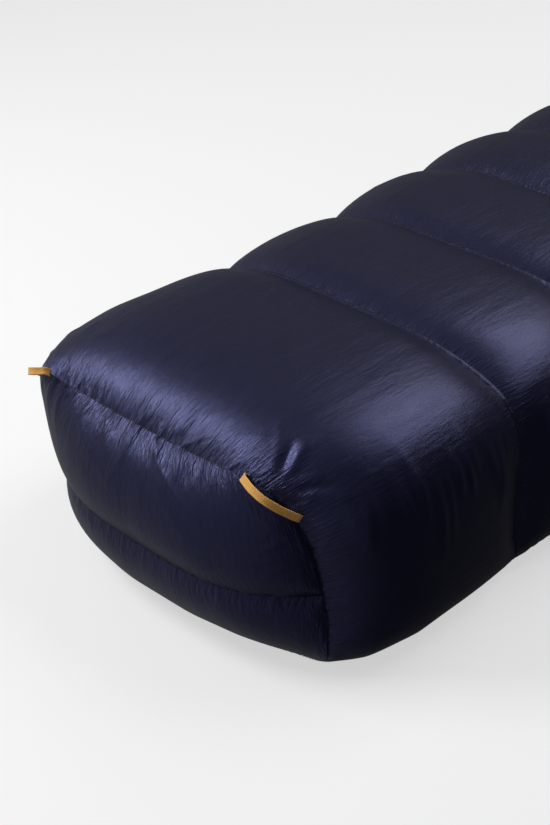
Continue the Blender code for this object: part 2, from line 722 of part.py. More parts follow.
def build_care_label():
    """Blank woven label, sewn in at the left edge just behind the foot box."""
    y = LABEL_STATION - 0.5 * LENGTH
    edge = girth.at(LABEL_STATION, COLUMNS - 1, 0.0).x + 3 * GAP + BINDING
    path = [Vector((edge + reach, y, height)) for reach, height in LABEL_FALL]
    label = ribbon(path, LABEL_WIDTH, LABEL_THICK)
    add_object("care_label", label, WHITE, 0.8, smooth=False)


def build_foot_loops():
    """Webbing loop over each top corner of the end seam, free to flop about its sewn ends."""
    mirrored = [COLUMNS - j for j in TOP_CORNER_COLUMNS]
    for side, columns in (("right", TOP_CORNER_COLUMNS), ("left", mirrored)):
        low, high = (girth.at(FOOT_SEAM, j, -LOOP_STANDOFF) for j in columns)
        chord = high - low
        outwards = [girth.at(FOOT_SEAM, j, -1.0) - girth.at(FOOT_SEAM, j, 0.0) for j in columns]
        out = outwards[0] + outwards[1]
        out = (out.normalized() + Vector((0.0, -LOOP_LEAN, 0.0))).normalized()
        out = (out - out.project(chord)).normalized()
        aside = chord.cross(out).normalized() * 0.5 * WEBBING
        rows = []
        for k in range(LOOP_STEPS + 1):
            share = k / LOOP_STEPS
            rise = math.sin(math.pi * share)
            middle = low + chord * share + out * LOOP_BOW * rise
            slope = chord + out * LOOP_BOW * math.pi * math.cos(math.pi * share)
            face = slope.cross(aside).normalized() * 0.5 * WEBBING_THICK
            rows.append([middle - aside - face, middle + aside - face,
                         middle + aside + face, middle - aside + face])
        loop = add_object(f"foot_loop_{side}", sweep(rows), OCHRE, 0.6)
        set_origin(loop, 0.5 * (low + high))


clear_scene()
build_cloth()
build_chambers()
build_baffle_walls()
build_end_panel()
build_edge_bindings()
build_neck_hem()
cord_y = build_drawcord()
build_cord_lock(cord_y)
build_neck_snap()
for strap_number, strap_station in enumerate(STRAP_STATIONS, start=1):
    build_ground_strap(strap_number, strap_station)
build_care_label()
build_foot_loops()
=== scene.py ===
import math

import bmesh
import bpy
import numpy as np
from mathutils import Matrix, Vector


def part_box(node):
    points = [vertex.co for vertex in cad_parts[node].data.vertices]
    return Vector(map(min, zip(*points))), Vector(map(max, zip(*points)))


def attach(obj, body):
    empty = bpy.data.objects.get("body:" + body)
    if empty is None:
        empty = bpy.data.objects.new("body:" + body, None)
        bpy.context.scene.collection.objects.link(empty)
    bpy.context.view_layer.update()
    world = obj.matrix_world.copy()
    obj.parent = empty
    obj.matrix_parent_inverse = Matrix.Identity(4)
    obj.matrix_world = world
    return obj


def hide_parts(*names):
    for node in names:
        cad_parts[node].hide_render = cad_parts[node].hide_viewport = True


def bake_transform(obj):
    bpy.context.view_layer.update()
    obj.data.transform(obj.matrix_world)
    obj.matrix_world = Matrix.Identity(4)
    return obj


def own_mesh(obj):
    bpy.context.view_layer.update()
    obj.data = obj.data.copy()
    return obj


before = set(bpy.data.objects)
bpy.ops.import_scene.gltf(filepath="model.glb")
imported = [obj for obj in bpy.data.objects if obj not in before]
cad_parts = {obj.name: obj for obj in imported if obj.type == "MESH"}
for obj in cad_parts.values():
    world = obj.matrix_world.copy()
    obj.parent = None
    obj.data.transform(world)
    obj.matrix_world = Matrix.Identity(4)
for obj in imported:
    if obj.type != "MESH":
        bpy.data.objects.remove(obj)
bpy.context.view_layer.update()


# ---- Camera ----------------------------------------------------------------------------
# A view from the front right of the foot end, a little above it, with the foot end large
# and the neck running out of the picture.
FOOT_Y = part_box("down_fill_01")[0].y
VIEW_FROM = Vector((0.927, FOOT_Y - 0.774, 0.9725))
VIEW_AZIMUTH = math.radians(44.0)
VIEW_DROP = math.radians(32.0)
VIEW_LENS = 62.5
camera_data = bpy.data.cameras.new("camera")
camera_data.lens = VIEW_LENS
camera_data.sensor_width = 36.0
camera_data.clip_start = 0.05
camera = bpy.data.objects.new("camera", camera_data)
camera.location = VIEW_FROM
camera.rotation_euler = (math.pi / 2 - VIEW_DROP, 0.0, VIEW_AZIMUTH)
bpy.context.scene.collection.objects.link(camera)
bpy.context.scene.camera = camera


# ---- Shell chambers --------------------------------------------------------------------
# The shell is one skin of glossy down-proof nylon, cut wider than its seams and gathered
# onto them, so that each chamber puffs up and puckers along its edges. It is shaped here by
# letting the slack cloth settle under the push of the down between its sewn edges.
SEAM_YS = [0.5 * sum(corner.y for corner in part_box(f"baffle_wall_{k:02d}")) for k in range(1, 9)]
NECK_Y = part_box("down_fill_09")[1].y
CHAMBERS = len(SEAM_YS) + 1
SLIT_HALF = 0.5 * (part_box("edge_binding_right")[0].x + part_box("edge_binding_right")[1].x)
SLIT_START = SEAM_YS[3]
SLIT_TAPER = 0.07         # length over which the slit opens to its full width
SEAM_BAND = 0.006         # width of the stitched band between two chambers
SEAM_SINK = 0.0065        # how deep a baffle seam lies below the top of a chamber
SIDE_SINK = 0.0075        # and how much deeper it lies round the shoulders
PUFF_REACH = 0.10         # length over which a chamber rises from its seam
END_REACH = 0.085         # length over which the end seam's outline dies out
END_REACHES = (END_REACH, 0.22, END_REACH)    # for X, for its run back along Y, and for Z
END_FADE = 2.4            # how fast it dies out: over 1 is faster near the seam
END_TUCK = 0.0035         # how far the cloth turns in at the end seam
END_HEART = np.array((0.0, FOOT_Y + 0.09, 0.10))    # the point inside that it turns in to
FLAT_GIRTH = 1.45         # width of the shell's cloth round the quilt, laid flat
GATHER_LIMIT = 1.035      # the most cloth for its place, where a chamber is at its fullest
END_GATHER = 0.45         # share of that gather at the end seam
BAFFLE_GATHER = 0.25      # and at a baffle seam
LOW_CLOTH = 0.10          # height below which the cloth is less and less gathered
CHAMBER_SPARE = 1.018     # the most cloth for its place from seam to seam
UNDERSIDE_PACE = 0.25     # columns are this much thinner on the ground
GROUND_GAP = 0.0006       # height of the lowest cloth above the floor
DOWN_PUSH = 0.000012      # how far the down pushes the cloth out at each step
SPEED_KEPT = 0.90         # share of its speed that the cloth keeps at each step
SHEAR_HOLD = 0.15         # how hard the weave holds its diagonals
BEND_HOLD = 0.10          # how hard it resists being folded
SETTLE_STEPS = 90
CORNER_FOLD = 0.0038      # height of the largest folds at the right top corner
CORNER_TURNS = (-38, -20, -2, 14, 28, 42, 55, 70, 88, 106, 124)    # and their headings
FINE_MESHES = ((264, 0.0055), (208, 0.0065), (240, 0.006))    # columns and cell, from the foot
FAR_MESH = (160, 0.009)   # and of all the other chambers
NAVY = (0.0060, 0.0066, 0.0190, 1.0)
DEEP_NAVY = (0.0042, 0.0046, 0.0140, 1.0)
INDIGO_GLOSS = (0.40, 0.42, 1.0, 1.0)

# station from the end seam, half width, height, exponent of the corners, taper upwards
BODY_SECTIONS = np.array([
    (0.00, 0.234, 0.216, 4.4, 0.09),
    (0.05, 0.256, 0.231, 4.2, 0.06),
    (0.12, 0.270, 0.242, 4.3, 0.05),
    (0.30, 0.274, 0.245, 4.4, 0.04),
    (0.50, 0.274, 0.245, 4.2, 0.04),
    (0.89, 0.268, 0.248, 3.4, 0.05),
    (1.29, 0.285, 0.258, 2.8, 0.05),
    (1.59, 0.298, 0.258, 2.7, 0.05),
    (1.91, 0.272, 0.242, 2.6, 0.05),
])
WAIST_SHARE = 0.40        # share of the height at which the girth is widest
FLOOR_EXPONENT = 6.0
FLOOR_PRESS = 1.05        # over 1: the underside is pressed flat against the ground

# each half of the end seam, from the middle of its top edge round to the underside; the
# lower left corner is the softer of the two
END_SEAM_RIGHT = np.array([
    (0.000, 0.000, 0.2035),
    (0.070, 0.002, 0.2040),
    (0.125, 0.005, 0.2065),
    (0.146, 0.009, 0.2040),
    (0.163, 0.014, 0.1950),
    (0.176, 0.022, 0.1820),
    (0.187, 0.025, 0.1700),
    (0.196, 0.027, 0.1550),
    (0.205, 0.029, 0.1350),
    (0.213, 0.032, 0.1050),
    (0.222, 0.032, 0.0640),
    (0.228, 0.027, 0.0300),
    (0.222, 0.032, 0.0120),
    (0.195, 0.032, 0.0020),
    (0.150, 0.024, 0.0010),
    (0.080, 0.012, 0.0010),
    (0.000, 0.008, 0.0010),
])
END_SEAM_LEFT = np.array([
    (0.000, 0.000, 0.2035),
    (-0.060, 0.000, 0.2035),
    (-0.120, -0.001, 0.2055),
    (-0.150, -0.002, 0.2080),
    (-0.169, -0.001, 0.2060),
    (-0.182, 0.005, 0.1940),
    (-0.188, 0.014, 0.1760),
    (-0.190, 0.026, 0.1450),
    (-0.187, 0.035, 0.1200),
    (-0.183, 0.042, 0.0900),
    (-0.175, 0.052, 0.0500),
    (-0.168, 0.056, 0.0180),
    (-0.152, 0.045, 0.0040),
    (-0.120, 0.025, 0.0010),
    (0.000, 0.008, 0.0010),
])
LEFT_NARROW = 0.19        # how much narrower the left side of the foot box is
LEFT_FOOT = 0.60          # share of that which is given back next to the end seam
LEFT_FOOT_REACH = 0.20    # length over which that dies out
LEFT_HOLDS = 0.38         # distance from the end seam at which it starts to widen
LEFT_REACH = 0.87         # and at which it is as wide as the right side


def smooth_step(value):
    """An even rise from 0 to 1, without corners."""
    value = np.clip(value, 0.0, 1.0)
    return value * value * (3.0 - 2.0 * value)


def along(points):
    """Distance run along a row of points."""
    steps = np.linalg.norm(np.diff(points, axis=0), axis=1)
    return np.concatenate([[0.0], np.cumsum(steps)])


def even_points(points, count, pace=None):
    """The same line with its points evenly spaced, or spaced by a pace for each step."""
    steps = np.linalg.norm(np.diff(points, axis=0), axis=1)
    if pace is not None:
        steps = steps * pace
    run = np.concatenate([[0.0], np.cumsum(steps)])
    at = np.linspace(0.0, run[-1], count)
    return np.stack([np.interp(at, run, points[:, k]) for k in range(points.shape[1])], axis=1)


def rounded(points, count=400, passes=40):
    """A smooth line through a short list of points."""
    line = even_points(points, count)
    for _ in range(passes):
        line[1:-1] += 0.25 * (line[:-2] - 2 * line[1:-1] + line[2:])
    return line


def ground_pace(line):
    """Fewer columns where the cloth lies on the ground."""
    middle = 0.5 * (line[1:, -1] + line[:-1, -1])
    return UNDERSIDE_PACE + (1.0 - UNDERSIDE_PACE) * smooth_step(middle / 0.01)


def slit_half(y):
    """Half the width of the slit under the quilt."""
    return SLIT_HALF * smooth_step((y - SLIT_START) / SLIT_TAPER)


def girth_ring(y, count, sink=0.0, depth=0.0):
    """Points round the quilt, from right of the slit over the top to its left. sink pulls
    the ring in clear of the ground; depth is how far inside the shell it runs everywhere."""
    half, height, corner, taper = (
        np.interp(y - FOOT_Y, BODY_SECTIONS[:, 0], BODY_SECTIONS[:, k]) for k in range(1, 5)
    )
    half, height = half - depth, height - 2.0 * depth
    waist = WAIST_SHARE * height
    turn = np.linspace(-0.5 * np.pi, 0.5 * np.pi, 900)
    across, up = np.cos(turn), np.sin(turn)
    power = np.where(up > 0, corner, FLOOR_EXPONENT)
    rise = np.where(up > 0, height - waist, waist * FLOOR_PRESS)
    x = half * np.abs(across) ** (2.0 / power)
    z = np.maximum(waist + rise * np.sign(up) * np.abs(up) ** (2.0 / power), 0.0)
    x = x * (1.0 - taper * z / height)
    line = np.column_stack([x, z])
    slope = np.gradient(line, axis=0)
    slope /= np.linalg.norm(slope, axis=1)[:, None] + 1e-12
    normal = np.column_stack([slope[:, 1], -slope[:, 0]])
    clear = smooth_step(z / 0.06)
    shoulder = smooth_step((x / half - 0.35) / 0.45) * SIDE_SINK / SEAM_SINK
    line = line - normal * (sink * clear * (1.0 + shoulder))[:, None]
    edge = slit_half(y)
    kept = line[line[:, 0] >= edge - 1e-9]
    line = np.vstack([[edge, 0.0], kept]) if kept[0, 0] > edge else kept
    line[-1, 0] = 0.0
    right = even_points(line, count // 2 + 1, ground_pace(line))
    widened = smooth_step((y - FOOT_Y - LEFT_HOLDS) / (LEFT_REACH - LEFT_HOLDS))
    foot = 1.0 - LEFT_FOOT * (1.0 - smooth_step((y - FOOT_Y) / LEFT_FOOT_REACH))
    narrow = 1.0 - LEFT_NARROW * (1.0 - widened) * foot
    ring = np.vstack([right, right[-2::-1] * (-narrow, 1.0)])
    return np.column_stack([ring[:, 0], np.full(len(ring), y), ring[:, 1] + depth])


def end_seam_half(side):
    """The seam round the end, from the middle of the underside up to the middle of the top."""
    half = END_SEAM_RIGHT if side > 0 else END_SEAM_LEFT
    return rounded(half[::-1] + (0.0, FOOT_Y, 0.0))


def turned_in(line):
    """The end seam's line as the cloth reaches it, turned in a little from both sides."""
    inside = END_HEART - line
    inside[:, 0] *= 0.5
    inside /= np.linalg.norm(inside, axis=1)[:, None]
    return line + END_TUCK * inside * smooth_step(line[:, 2:] / 0.03)


def end_seam_ring(count):
    """The whole end seam, with its points in step with those of girth_ring."""
    right, left = (
        even_points(end_seam_half(side), count // 2 + 1, ground_pace(end_seam_half(side)))
        for side in (1, -1)
    )
    return turned_in(np.vstack([right, left[-2::-1]]))


def surface_normals(grid):
    """The outward direction at every point of a grid."""
    normal = np.cross(np.gradient(grid, axis=0), np.gradient(grid, axis=1))
    return normal / (np.linalg.norm(normal, axis=2)[..., None] + 1e-12)


def settle(rows, slack_along, slack_round, seed):
    """Let a grid of cloth settle between its four edges. rows is the wanted full shape as
    (n, m, 3) points; the two slacks are how much longer the cloth is in each direction."""
    rng = np.random.default_rng(seed)
    place = rows.copy()
    free = np.zeros(rows.shape[:2], bool)
    free[1:-1, 1:-1] = True
    edge_i = np.linalg.norm(np.diff(rows, axis=0), axis=2) * slack_along
    edge_j = np.linalg.norm(np.diff(rows, axis=1), axis=2) * slack_round
    bend_i = edge_i[:-1] + edge_i[1:]
    bend_j = edge_j[:, :-1] + edge_j[:, 1:]
    stretch = 0.5 * (np.mean(slack_along) + np.mean(slack_round))
    normal = surface_normals(place)
    place += normal * (rng.normal(0.0, 0.0004, place.shape[:2]) * free)[..., None]
    before = place.copy()
    weight = free.astype(float)[..., None]

    def pull(a, b, length, hard, only_short=False):
        offset = b - a
        size = np.linalg.norm(offset, axis=-1) + 1e-12
        excess = (size - length) / size
        if only_short:
            excess = np.minimum(excess, 0.0)
        return offset * (0.5 * hard * excess)[..., None]

    def relax(axis, start, reach, length, hard, only_short=False):
        """Pull every second pair of points that are reach apart to its length."""
        index = np.arange(place.shape[axis] - reach)
        index = index[(index // reach) % 2 == start]
        low, high = [slice(None)] * 2, [slice(None)] * 2
        low[axis], high[axis] = index, index + reach
        low, high = tuple(low), tuple(high)
        move = pull(place[low], place[high], length[low], hard, only_short)
        place[low] += move * weight[low] * (2.0 - weight[high])
        place[high] -= move * weight[high] * (2.0 - weight[low])

    diagonals = (
        ((slice(None, -1), slice(None, -1)), (slice(1, None), slice(1, None))),
        ((slice(1, None), slice(None, -1)), (slice(None, -1), slice(1, None))),
    )
    shears = [
        np.linalg.norm(rows[other] - rows[one], axis=2) * stretch for one, other in diagonals
    ]
    for step in range(SETTLE_STEPS):
        velocity = (place - before) * SPEED_KEPT
        before = place.copy()
        if step % 3 == 0:
            normal = surface_normals(place)
        place += (velocity + normal * DOWN_PUSH) * weight
        for _ in range(2):
            for start in (0, 1):
                relax(0, start, 1, edge_i, 1.0)
                relax(1, start, 1, edge_j, 1.0)
            for (one, other), shear in zip(diagonals, shears):
                move = pull(place[one], place[other], shear, SHEAR_HOLD)
                place[one] += move * weight[one]
                place[other] -= move * weight[other]
            for start in (0, 1):
                relax(0, start, 2, bend_i, BEND_HOLD, True)
                relax(1, start, 2, bend_j, BEND_HOLD, True)
        place[..., 2] = np.where(free, np.maximum(place[..., 2], GROUND_GAP), place[..., 2])
    return place


def uneven(shape, cells, low, high, seed):
    """Soft random field over a grid, from low to high, made of a few coarse cells."""
    rng = np.random.default_rng(seed)
    knots = rng.random((cells[0] + 3, cells[1] + 3))
    ri, rj = (np.linspace(0, cells[k], shape[k]) for k in (0, 1))
    i, j = ri.astype(int), rj.astype(int)
    fi, fj = smooth_step(ri - i)[:, None], smooth_step(rj - j)[None]
    a, b = knots[i][:, j], knots[i][:, j + 1]
    c, d = knots[i + 1][:, j], knots[i + 1][:, j + 1]
    field = (a * (1 - fj) + b * fj) * (1 - fi) + (c * (1 - fj) + d * fj) * fi
    return low + (high - low) * field


def finer(grid):
    """Twice as many cells each way, on a smooth surface through the same points."""
    for axis in (0, 1):
        g = np.moveaxis(grid, axis, 0)
        ends = np.concatenate([2 * g[:1] - g[1:2], g, 2 * g[-1:] - g[-2:-1]])
        middle = (9 * (ends[1:-2] + ends[2:-1]) - (ends[:-3] + ends[3:])) / 16
        out = np.empty((2 * len(g) - 1, *g.shape[1:]))
        out[::2], out[1::2] = g, middle
        grid = np.moveaxis(out, 0, axis)
    return grid


def turned(grid, edge):
    """The same grid with its "first" or "last" row, or "left" or "right" column, as first."""
    if edge in ("left", "right"):
        grid = np.swapaxes(grid, 0, 1)
    return grid[::-1] if edge in ("last", "right") else grid


def clear_of_ground(grid):
    """From 0 where the cloth lies on the ground to 1 a few centimetres above it."""
    return smooth_step((grid[..., 2] - 0.004) / 0.03)


def away_from(grid, edge):
    """Distance of every point from one edge, measured over the cloth."""
    away = np.zeros(grid.shape[:2])
    steps = np.linalg.norm(np.diff(turned(grid, edge), axis=0), axis=2)
    turned(away, edge)[1:] = np.cumsum(steps, axis=0)
    return away


def pucker_rise(grid, spacing, height, reach, seed, width=0.30, lean=0.16):
    """Heights of small gathers that run away from the first row of a grid."""
    rng = np.random.default_rng(seed)
    run = along(grid[0])
    away = away_from(grid, "first")
    count = int(run[-1] / spacing)
    middles = (np.arange(count) + 0.5 + rng.uniform(-0.40, 0.40, count)) * run[-1] / count
    rise = np.zeros(grid.shape[:2])
    for middle in middles:
        size = height * rng.uniform(0.25, 1.0)
        length = reach * rng.uniform(0.30, 1.0) ** 1.5 * 1.3
        drift = rng.normal(0.0, lean)
        bow = rng.normal(0.0, lean / reach)
        narrow = spacing * width * rng.uniform(0.7, 1.3)
        rows = int(np.searchsorted(away.mean(axis=1), 2.4 * length)) + 1
        near = np.abs(run - middle) < 8 * narrow + 2.4 * length * (abs(drift) + 0.1)
        d = away[:rows][:, near]
        side = run[near][None] - middle - drift * d - bow * d * d
        side = side / (narrow * (1.0 + 0.8 * d / reach))
        ridge = np.exp(-np.abs(side) ** 1.3)
        rise[:rows, near] += size * ridge * np.exp(-((d / length) ** 1.7))
    rise -= height * 0.35 * np.exp(-((away / reach) ** 1.6))
    return rise


def puckers(grid, edge, *sizes, **more):
    """Gathers along one sewn edge of a grid."""
    rise = np.zeros(grid.shape[:2])
    turned(rise, edge)[...] = pucker_rise(turned(grid, edge), *sizes, **more)
    return grid + surface_normals(grid) * (rise * clear_of_ground(grid))[..., None]


def folds(grid, lines, seen=(1.0, 1.0, 1.0)):
    """Soft ridges. Each line is (start, end, width, height) of a fold that dies out at both
    ends; a height below zero is a furrow. seen is how much a distance along each axis counts."""
    rise = np.zeros(grid.shape[:2])
    for start, end, width, height in lines:
        start, end = np.asarray(start, float), np.asarray(end, float)
        span = end - start
        share = ((grid - start) @ span) / (span @ span)
        held = np.clip(share, 0.0, 1.0)
        gap = np.linalg.norm((grid - start - held[..., None] * span) * seen, axis=2)
        fade = smooth_step(1.0 - np.abs(2.0 * held - 1.0))
        rise += height * np.exp(-((gap / width) ** 2)) * fade
    return grid + surface_normals(grid) * (rise * clear_of_ground(grid))[..., None]


def new_piece(name, points, faces):
    """A smooth mesh object of points and faces, linked to the scene."""
    mesh = bpy.data.meshes.new(name)
    mesh.from_pydata(points, [], faces)
    mesh.shade_smooth()
    piece = bpy.data.objects.new(name, mesh)
    bpy.context.scene.collection.objects.link(piece)
    return piece


def cloth_mesh(name, grid, flat, sewn_edges=()):
    """A grid as a mesh whose points know their place on the flat cloth, in metres, and how
    close they are to a sewn edge, from 0 to 1."""
    rows, columns = grid.shape[:2]
    grid = grid.copy()
    grid[..., 2] = np.maximum(grid[..., 2], 0.0)
    index = np.arange(rows * columns).reshape(rows, columns)
    quads = np.stack([index[:-1, :-1], index[1:, :-1], index[1:, 1:], index[:-1, 1:]], axis=-1)
    piece = new_piece(name, grid.reshape(-1, 3), quads.reshape(-1, 4))
    place = np.zeros((rows, columns, 3), np.float32)
    place[..., 0] = np.linspace(0, flat[0], columns)[None]
    place[..., 1] = np.linspace(0, flat[1], rows)[:, None]
    cloth = piece.data.attributes.new("cloth", "FLOAT_VECTOR", "POINT")
    cloth.data.foreach_set("vector", place.ravel())
    close = np.zeros((rows, columns), np.float32)
    for edge, reach in sewn_edges:
        close = np.maximum(close, np.exp(-((away_from(grid, edge) / reach) ** 1.5)))
    sewn = piece.data.attributes.new("sewn", "FLOAT", "POINT")
    sewn.data.foreach_set("value", close.astype(np.float32).ravel())
    return piece


WAVE_SCALE = 0.31416      # scale at which Blender's wave repeats once per unit


class Finish:
    """A material made of nodes, with the few patterns that this quilt's cloths need."""

    def __init__(self, name, roughness, metallic=0.0, ior=1.5, cloth=True):
        self.material = bpy.data.materials.new(name)
        self.material.use_nodes = True
        self.nodes = self.material.node_tree.nodes
        self.shader = self.nodes["Principled BSDF"]
        self.shader.inputs["Roughness"].default_value = roughness
        self.shader.inputs["Metallic"].default_value = metallic
        self.shader.inputs["IOR"].default_value = ior
        self.height = None
        if cloth:
            source = self.nodes.new("ShaderNodeAttribute")
            source.attribute_name = "cloth"
            self.place = source.outputs["Vector"]
        else:
            self.place = self.nodes.new("ShaderNodeTexCoord").outputs["Object"]

    def link(self, output, target):
        """Links two sockets of this material."""
        self.material.node_tree.links.new(output, target)

    def scaled(self, scale, turn=0.0):
        """The place on the cloth, times one scale or one for each axis, and turned."""
        node = self.nodes.new("ShaderNodeMapping")
        node.inputs["Scale"].default_value = scale if np.iterable(scale) else (scale,) * 3
        node.inputs["Rotation"].default_value = (0.0, 0.0, turn)
        self.link(self.place, node.inputs["Vector"])
        return node.outputs["Vector"]

    def noise(self, scale, detail=3.0, rough=0.55, turn=0.0):
        """Soft random field, from 0 to 1."""
        node = self.nodes.new("ShaderNodeTexNoise")
        node.inputs["Scale"].default_value = 1.0
        node.inputs["Detail"].default_value = detail
        node.inputs["Roughness"].default_value = rough
        self.link(self.scaled(scale, turn), node.inputs["Vector"])
        return node.outputs["Fac"]

    def worked_out(self, operation, value):
        """One step of arithmetic: a math node whose second input stays to be set."""
        node = self.nodes.new("ShaderNodeMath")
        node.operation = operation
        self.link(value, node.inputs[0])
        return node

    def creases(self, scale, detail, rough, turn):
        """Sharp, crossing creases close to the sewn edges."""
        fold = self.worked_out("SUBTRACT", self.noise(scale, detail, rough, turn))
        fold.inputs[1].default_value = 0.5
        sharp = self.worked_out("ABSOLUTE", fold.outputs[0])
        held = self.worked_out("MULTIPLY", sharp.outputs[0])
        close = self.nodes.new("ShaderNodeAttribute")
        close.attribute_name = "sewn"
        self.link(close.outputs["Fac"], held.inputs[1])
        return held.outputs[0]

    def ribs(self, pitch, direction, turn=0.0):
        """Even threads a pitch apart, running across X or Y of the cloth."""
        node = self.nodes.new("ShaderNodeTexWave")
        node.bands_direction = direction
        node.inputs["Scale"].default_value = WAVE_SCALE
        node.inputs["Distortion"].default_value = 0.0
        self.link(self.scaled(1.0 / pitch, turn), node.inputs["Vector"])
        return node.outputs["Fac"]

    def colour(self, value, one, other):
        """Colours the finish from one to other, by a value from 0 to 1."""
        node = self.nodes.new("ShaderNodeMix")
        node.data_type = "RGBA"
        node.inputs[6].default_value = one
        node.inputs[7].default_value = other
        self.link(value, node.inputs[0])
        self.link(node.outputs[2], self.shader.inputs["Base Color"])

    def roughness(self, value, low, high):
        """Makes the finish rougher from low to high, by a value from 0 to 1."""
        node = self.nodes.new("ShaderNodeMapRange")
        node.inputs["To Min"].default_value = low
        node.inputs["To Max"].default_value = high
        self.link(value, node.inputs["Value"])
        self.link(node.outputs["Result"], self.shader.inputs["Roughness"])

    def raised(self, value, height):
        """Adds one layer of relief, height in metres from its lowest to its highest."""
        node = self.nodes.new("ShaderNodeBump")
        node.inputs["Strength"].default_value = 1.0
        node.inputs["Distance"].default_value = height
        self.link(value, node.inputs["Height"])
        if self.height is not None:
            self.link(self.height, node.inputs["Normal"])
        self.height = node.outputs["Normal"]
        self.link(self.height, self.shader.inputs["Normal"])

    def put_on(self, *pieces):
        """Gives pieces this finish in place of any other."""
        for piece in pieces:
            piece.data.materials.clear()
            piece.data.materials.append(self.material)


def glossy_nylon(name, one, other, roughness):
    """Down-proof nylon taffeta: pressed to a gloss on its face, with fine creases."""
    cloth = Finish(name, roughness, ior=1.55)
    cloth.shader.inputs["Specular Tint"].default_value = INDIGO_GLOSS
    cloth.colour(cloth.noise(9.0, 4.0), one, other)
    cloth.roughness(cloth.noise((40.0, 16.0, 20.0), 4.0), roughness - 0.07, roughness + 0.08)
    cloth.raised(cloth.noise((34.0, 9.0, 20.0), 4.0, 0.50), 0.0014)
    cloth.raised(cloth.creases((150.0, 24.0, 60.0), 3.0, 0.50, 0.10), 0.0038)
    cloth.raised(cloth.noise((190.0, 60.0, 90.0), 4.0, 0.60), 0.00035)
    cloth.raised(cloth.ribs(0.0009, "X"), 0.00002)
    cloth.raised(cloth.ribs(0.0009, "Y"), 0.00002)
    return cloth


def chamber_rows(k, cell, columns):
    """Full, unwrinkled shape of one chamber between its two sewn rings."""
    first, last = k == 1, k == CHAMBERS
    low = FOOT_Y if first else SEAM_YS[k - 2] + 0.5 * SEAM_BAND
    high = NECK_Y if last else SEAM_YS[k - 1] - 0.5 * SEAM_BAND
    length = high - low
    rows = []
    for share in np.linspace(0.0, 1.0, int(round(length / cell)) + 1):
        far = np.clip((1.0 - share) * length / PUFF_REACH, 0.0, 1.0)
        sink = SEAM_SINK * (1.0 - far) ** 2
        if not first:
            near = np.clip(share * length / PUFF_REACH, 0.0, 1.0)
            sink += SEAM_SINK * (1.0 - near) ** 2
        ring = girth_ring(low + share * length, columns, sink)
        if first:
            left = [max(0.0, 1.0 - share * length / reach) ** END_FADE for reach in END_REACHES]
            ring = ring + (end_seam_ring(columns) - girth_ring(low, columns)) * left
        rows.append(ring)
    return np.array(rows)


def settled_chamber(rows, seed, gathered):
    """A chamber's cloth, held along its seams and at the middle of the underside."""
    round_steps = np.linalg.norm(np.diff(rows, axis=1), axis=2)
    gather = np.clip(round_steps.max(axis=0)[None] / round_steps, 1.0, GATHER_LIMIT)
    kept = np.linspace(gathered, BAFFLE_GATHER, len(rows))[:, None]
    gather = 1.0 + (gather - 1.0) * kept * smooth_step(rows[:, 1:, 2] / LOW_CLOTH)
    spare = 1.0 + 0.012 * kept.mean()
    gather = gather * uneven((rows.shape[0], rows.shape[1] - 1), (3, 30), 1.0, spare, seed + 50)
    slack = uneven((rows.shape[0] - 1, rows.shape[1]), (4, 26), 1.0, CHAMBER_SPARE, seed)
    return settle(rows, slack, gather, seed)


def corner_folds(side, seed):
    """Folds that start at a top corner of the end seam and fan out over the first chamber."""
    rng = np.random.default_rng(seed)
    corner = np.array((0.165 * side, FOOT_Y + 0.015, 0.200))
    lines = []
    for n, turn in enumerate(np.radians(CORNER_TURNS)):
        out = np.array((side * math.sin(turn), math.cos(turn), 0.0))
        tip = corner + out * rng.uniform(0.045, 0.085)
        tip[2] += 0.042 - 0.055 * max(0.0, math.sin(turn))
        height = (CORNER_FOLD if side > 0 else 0.4 * CORNER_FOLD) * rng.uniform(0.5, 1.0)
        height *= (-1) ** n
        lines.append((corner + 0.10 * (tip - corner), tip, rng.uniform(0.0035, 0.0055), height))
    return lines


def shoulder_folds(side, low, high, seed):
    """Soft folds that hang down over the side of a chamber, a few centimetres apart."""
    rng = np.random.default_rng(seed)
    lines = []
    y = low
    while y < high:
        top = rng.uniform(0.205, 0.243)
        foot = top - rng.uniform(0.060, 0.120)
        drift = rng.normal(0.0, 0.006)
        out = 0.262 * (1.0 if side > 0 else 1.0 - LEFT_NARROW) * side
        lines.append((
            (out, y, top),
            (out, y + drift, foot),
            rng.uniform(0.0040, 0.0070),
            rng.uniform(0.0012, 0.0034),
        ))
        y += rng.uniform(0.011, 0.026)
    return lines


